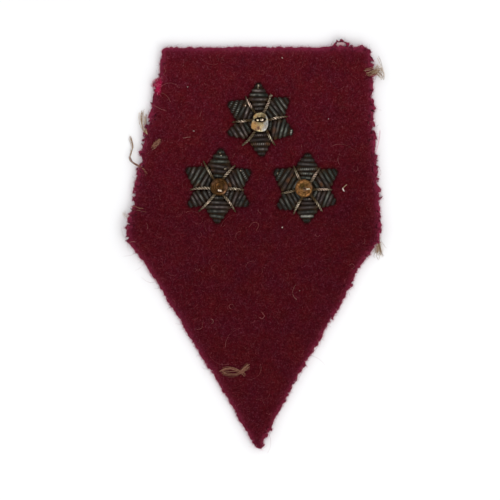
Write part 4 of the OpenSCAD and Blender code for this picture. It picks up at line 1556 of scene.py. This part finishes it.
for star in STARS:
    made = []
    for angle, distance, length, turned, height, coil, wire, shine in KNOTS[star]:
        middle = star_middle(star) + polar(distance, angle)
        half = polar(length / 2, turned)
        foot = STAR_BASE + height - coil - KNOT_ARCH
        ends = [Vector((p.x, p.y, foot)) for p in (middle - half, middle + half)]
        made.append(chip(*ends, KNOT_ARCH, coil, wire, shine, turns=KNOT_TURNS))
    knots = join(made, star + "_knots")
    dress(knots, bright_purl)
    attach(knots, "root")
    print(knots.name, triangles(knots), "triangles")

# %% [markdown]
# ## Loose ends
# Old basting threads were torn off the cut edges, and dust and hairs lie on the face. A lock
# is a few thin fibres that follow the same line, each a little off it. Each fibre is a
# NURBS path with a round bevel, turned into a mesh. The lines were set one by one after the real
# ones, because each torn thread lies in its own way.

# %% Draw a fibre and a lock
FIBRE_POINTS = 9


def along_line(points, share):
    """The place at a share of a broken line of (x, y, z, width), by equal legs."""
    leg = min(int(share * (len(points) - 1)), len(points) - 2)
    rest = share * (len(points) - 1) - leg
    return [a + (b - a) * rest for a, b in zip(points[leg], points[leg + 1])]


def fibre(stations, radius):
    deselect_all()
    bpy.ops.curve.primitive_nurbs_path_add(location=(0, 0, 0))
    path = bpy.context.object
    spline = path.data.splines[0]
    spline.points.add(len(stations) - len(spline.points))
    for point, station in zip(spline.points, stations):
        point.co = (*(station * MM), 1)
    spline.order_u = 3
    spline.use_endpoint_u = True
    path.data.resolution_u = 2
    path.data.bevel_depth = radius * MM
    path.data.bevel_resolution = 0
    path.data.use_fill_caps = True
    bpy.ops.object.convert(target="MESH")
    bpy.ops.object.shade_smooth()
    return bpy.context.object


def lock(name, points, fibres, radius, material):
    """Fibres along a line of (x, y, z, width) in mm. The width is how far they spread there."""
    draw = random.Random(name)
    made = []
    for _ in range(fibres):
        aside = Vector((draw.gauss(0, 0.5), draw.gauss(0, 0.5), draw.uniform(-0.3, 0.3)))
        first, last = draw.uniform(0.0, 0.12), draw.uniform(0.8, 1.0)
        stations = []
        for i in range(FIBRE_POINTS):
            *place, width = along_line(points, first + (last - first) * i / (FIBRE_POINTS - 1))
            stray = Vector((draw.uniform(-1, 1), draw.uniform(-1, 1), draw.uniform(0, 0.5))) * 0.25
            stations.append(Vector(place) + (aside + stray) * width)
        piece = fibre(stations, radius)
        give(piece, tone=draw.random())
        made.append(piece)
    whole = join(made, name)
    dress(whole, material)
    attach(whole, "root")
    return whole


# %% Colours of the loose ends
TAN_COLOURS = [(0.0, (0.17, 0.090, 0.040, 1)), (0.5, (0.38, 0.24, 0.135, 1)),
               (0.85, (0.55, 0.39, 0.25, 1)), (1.0, (0.68, 0.54, 0.40, 1))]
DULL_COLOURS = [(0.0, (0.095, 0.026, 0.020, 1)), (0.5, (0.24, 0.098, 0.060, 1)),
                (0.85, (0.37, 0.18, 0.11, 1)), (1.0, (0.48, 0.28, 0.18, 1))]
# Painted light: pale fibres in the slit stand in for the light that shows through it.
SLIT_GLOW_COLOURS = [(0.0, (0.75, 0.45, 0.48, 1)), (1.0, (0.95, 0.80, 0.80, 1))]
FINE_COLOURS = [(0.0, (0.12, 0.018, 0.020, 1)), (1.0, (0.22, 0.065, 0.055, 1))]
WHITE_COLOURS = [(0.0, (0.60, 0.42, 0.36, 1)), (0.5, (0.80, 0.66, 0.58, 1)), (0.9, (0.9, 0.82, 0.76, 1))]
tan_fibre = fibre_material("tan_fibre", TAN_COLOURS, 0.05)
dull_fibre = fibre_material("dull_fibre", DULL_COLOURS, 0.03)
fine_hair = fibre_material("fine_hair", FINE_COLOURS, 0.03)
slit_glow_fibre = fibre_material("slit_glow_fibre", SLIT_GLOW_COLOURS, 0.1)
white_fibre = fibre_material("white_fibre", WHITE_COLOURS, 0.05)
loose_fibres = (tan_fibre, dull_fibre, fine_hair, slit_glow_fibre, white_fibre)
print("loose fibres:", [material.name for material in loose_fibres])

# %% The locks and hairs
# The height of the cloth's napped face, mm
FACE = 1.58
LOCKS = [
    # name, fibres, radius mm, material, points (x, y, z, width) mm
    ("lock_left_a", 15, 0.023, tan_fibre, [
        (-20.0, 23.9, 0.2, 0.45), (-20.2, 21.9, 0.6, 0.30), (-19.9, 20.7, 1.0, 0.18),
        (-19.2, 19.7, 1.5, 0.10)]),
    ("lock_left_b", 11, 0.022, tan_fibre, [
        (-19.4, 23.2, 0.3, 0.40), (-19.4, 21.6, 0.6, 0.30), (-19.3, 20.4, 1.1, 0.15),
        (-19.0, 19.5, 1.5, 0.08)]),
    ("lock_left_c", 11, 0.024, tan_fibre, [
        (-22.2, 19.5, 0.2, 0.30), (-21.6, 17.6, 0.3, 0.22), (-22.0, 16.1, 0.5, 0.18),
        (-22.2, 15.3, 0.8, 0.18)]),
    ("lock_left_c_foot", 14, 0.026, dull_fibre, [
        (-22.2, 15.7, 0.7, 0.14), (-22.0, 14.9, 0.9, 0.18), (-21.6, 14.5, 1.2, 0.20),
        (-20.7, 14.0, 1.6, 0.20), (-20.0, 13.7, 1.7, 0.12)]),
    ("lock_left_d", 5, 0.018, dull_fibre, [
        (-20.0, 13.6, FACE + 0.05, 0.10), (-19.4, 13.1, FACE, 0.2), (-19.1, 12.4, FACE, 0.4)]),
    ("lock_left_leaf", 26, 0.022, dull_fibre, [
        (-16.7, 18.8, FACE + 0.1, 0.12), (-17.1, 18.3, FACE + 0.1, 0.45), (-17.6, 17.8, FACE, 0.55),
        (-18.0, 17.2, FACE, 0.35)]),
    ("lock_bow_upper", 12, 0.022, dull_fibre, [
        (-5.9, -22.8, FACE, 0.4), (-5.0, -22.4, FACE + 0.1, 0.4), (-3.9, -22.3, FACE + 0.1, 0.4),
        (-3.0, -22.6, FACE + 0.1, 0.3), (-2.2, -23.0, FACE, 0.25), (-1.55, -23.35, FACE, 0.3)]),
    ("lock_bow_lower", 13, 0.022, dull_fibre, [
        (-5.9, -22.9, FACE, 0.4), (-5.2, -23.3, FACE, 0.3), (-4.2, -23.5, FACE, 0.4),
        (-3.1, -23.5, FACE, 0.3), (-2.2, -22.9, FACE + 0.1, 0.25), (-1.7, -22.45, FACE + 0.1, 0.4),
        (-1.2, -22.15, FACE, 0.4)]),
    ("lock_bow_tail", 26, 0.022, dull_fibre, [
        (-2.5, -23.0, FACE, 0.15), (-1.9, -22.55, FACE + 0.1, 0.4), (-1.35, -22.15, FACE + 0.1, 0.5),
        (-0.95, -21.75, FACE, 0.42)]),
    ("lock_right_root", 22, 0.022, tan_fibre, [
        (20.2, 30.4, FACE, 0.7), (21.1, 30.8, FACE, 0.7), (21.9, 31.0, FACE, 0.6)]),
    ("lock_right_upper", 24, 0.022, tan_fibre, [
        (21.2, 30.8, FACE, 0.7), (22.1, 31.0, 1.2, 0.8), (22.8, 30.4, 0.8, 0.7),
        (23.1, 29.5, 0.4, 0.3)]),
    ("lock_right_tuft", 14, 0.022, tan_fibre, [
        (21.4, 30.6, FACE, 0.4), (22.1, 31.3, 1.2, 0.5), (22.4, 31.6, 0.9, 0.5),
        (22.1, 30.6, 0.8, 0.9)]),
    ("hair_right_arc", 3, 0.028, tan_fibre, [
        (22.2, 33.6, 0.4, 0.15), (22.7, 32.6, 0.6, 0.15), (23.0, 31.6, 0.8, 0.1),
        (22.9, 30.8, 0.9, 0.1)]),
    ("lock_right_lower", 44, 0.024, tan_fibre, [
        (22.4, 1.1, 1.2, 0.20), (22.4, -0.1, 0.9, 0.40), (22.5, -1.0, 0.6, 0.75),
        (22.6, -1.9, 0.3, 1.1)]),
    ("wisp_left_low", 10, 0.016, dull_fibre, [
        (-22.0, 6.4, 1.5, 0.4), (-21.0, 6.2, FACE + 0.1, 0.5), (-20.0, 6.0, FACE, 0.4),
        (-19.4, 5.9, FACE, 0.4)]),
    ("wisp_left_floor", 7, 0.016, tan_fibre, [
        (-23.3, 5.6, 0.2, 0.5), (-22.9, 4.8, 0.3, 0.5), (-22.4, 4.6, 0.6, 0.3),
        (-22.0, 5.0, 1.0, 0.2)]),
    ("hair_loop", 1, 0.026, fine_hair, [
        (-0.9, 2.9, FACE, 0.0), (-0.3, 3.8, FACE + 0.1, 0.0), (0.5, 3.95, FACE + 0.1, 0.0),
        (1.0, 3.4, FACE, 0.0), (0.6, 2.6, FACE, 0.0), (0.1, 2.1, FACE, 0.0)]),
    ("hair_arc_a", 1, 0.024, fine_hair, [
        (-16.7, 27.1, FACE, 0.0), (-15.9, 26.8, FACE, 0.0), (-15.2, 26.1, FACE, 0.0),
        (-14.7, 25.0, FACE, 0.0)]),
    ("hair_arc_b", 2, 0.022, pale_fibre, [
        (-18.2, 25.0, FACE, 0.1), (-16.8, 24.2, FACE, 0.1), (-15.4, 23.7, FACE, 0.1)]),
    ("hair_curl_a", 1, 0.022, fine_hair, [
        (-16.1, 31.7, FACE, 0.0), (-15.7, 30.9, FACE, 0.0), (-16.2, 30.3, FACE, 0.0),
        (-15.5, 29.9, FACE, 0.0)]),
    ("hair_curl_b", 1, 0.026, pale_fibre, [
        (4.1, 32.8, FACE, 0.0), (4.9, 31.6, FACE, 0.0), (4.6, 30.5, FACE, 0.0),
        (5.1, 29.6, FACE, 0.0)]),
    ("hair_curl_c", 1, 0.024, pale_fibre, [
        (1.4, -12.2, FACE, 0.0), (2.0, -12.9, FACE, 0.0), (1.5, -13.5, FACE, 0.0),
        (1.0, -13.1, FACE, 0.0)]),
    ("hair_dash", 2, 0.020, pale_fibre, [
        (-12.7, 18.90, FACE, 0.06), (-12.0, 19.05, FACE + 0.05, 0.03), (-11.3, 19.10, FACE, 0.06)]),
    ("hair_edge_right", 3, 0.026, bright_fibre, [
        (22.6, 20.7, 1.2, 0.1), (22.5, 19.2, 1.3, 0.1), (22.2, 17.6, 1.4, 0.1),
        (21.8, 16.3, 1.5, 0.1)]),
    # Painted light: pale fibres that stand in for the light showing through the slit
    ("lock_slit", 16, 0.030, slit_glow_fibre, [
        (14.8, 35.60, 1.2, 0.2), (15.3, 35.72, 1.35, 0.45), (15.9, 35.80, 1.35, 0.45),
        (16.4, 35.80, 1.2, 0.2)]),
    ("comma_hook", 2, 0.024, tan_fibre, [
        (16.75, 10.65, FACE, 0.03), (16.35, 10.35, FACE + 0.05, 0.03), (15.95, 9.95, FACE + 0.05, 0.03),
        (16.0, 9.7, FACE, 0.03)]),
    ("comma_foot", 4, 0.055, white_fibre, [
        (15.95, 10.0, FACE, 0.08), (16.05, 9.7, FACE + 0.05, 0.10), (16.25, 9.4, FACE, 0.08)]),
]
for name, fibres, radius, material, points in LOCKS:
    made = lock(name, points, fibres, radius, material)

# %% Specks of lint
SPECK_POINTS = 5
SPECK_HALF = (SPECK_POINTS - 1) / 2
SPECKS = [
    # x, y, length, turn, radius, all in mm and degrees
    (5.10, 2.95, 0.22, 30, 0.080), (-10.7, 20.2, 0.12, 0, 0.035),
    (-11.8, 28.1, 0.18, 80, 0.030), (5.10, 33.3, 0.22, 120, 0.060),
    (13.4, 22.4, 0.14, 60, 0.040), (8.2, -8.4, 0.12, 0, 0.040),
]
made = []
for number, (x, y, length, turned, radius) in enumerate(SPECKS):
    half = polar(length / 2, turned)
    draw = random.Random(number)
    stations = []
    for i in range(SPECK_POINTS):
        stray = Vector((draw.uniform(-0.04, 0.04), draw.uniform(-0.04, 0.04), draw.uniform(0, 0.06)))
        place = Vector((x, y, FACE)) + Vector((half.x, half.y, 0)) * (i / SPECK_HALF - 1)
        stations.append(place + stray)
    piece = fibre(stations, radius)
    give(piece, tone=draw.random())
    made.append(piece)
specks = join(made, "lint_specks")
dress(specks, white_fibre)
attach(specks, "root")
print("specks:", len(SPECKS), "with", triangles(specks), "triangles")

# %% Put the boxes of strands away
for box in boxes.values():
    for model in list(box.objects):
        bpy.data.objects.remove(model)
    bpy.data.collections.remove(box)
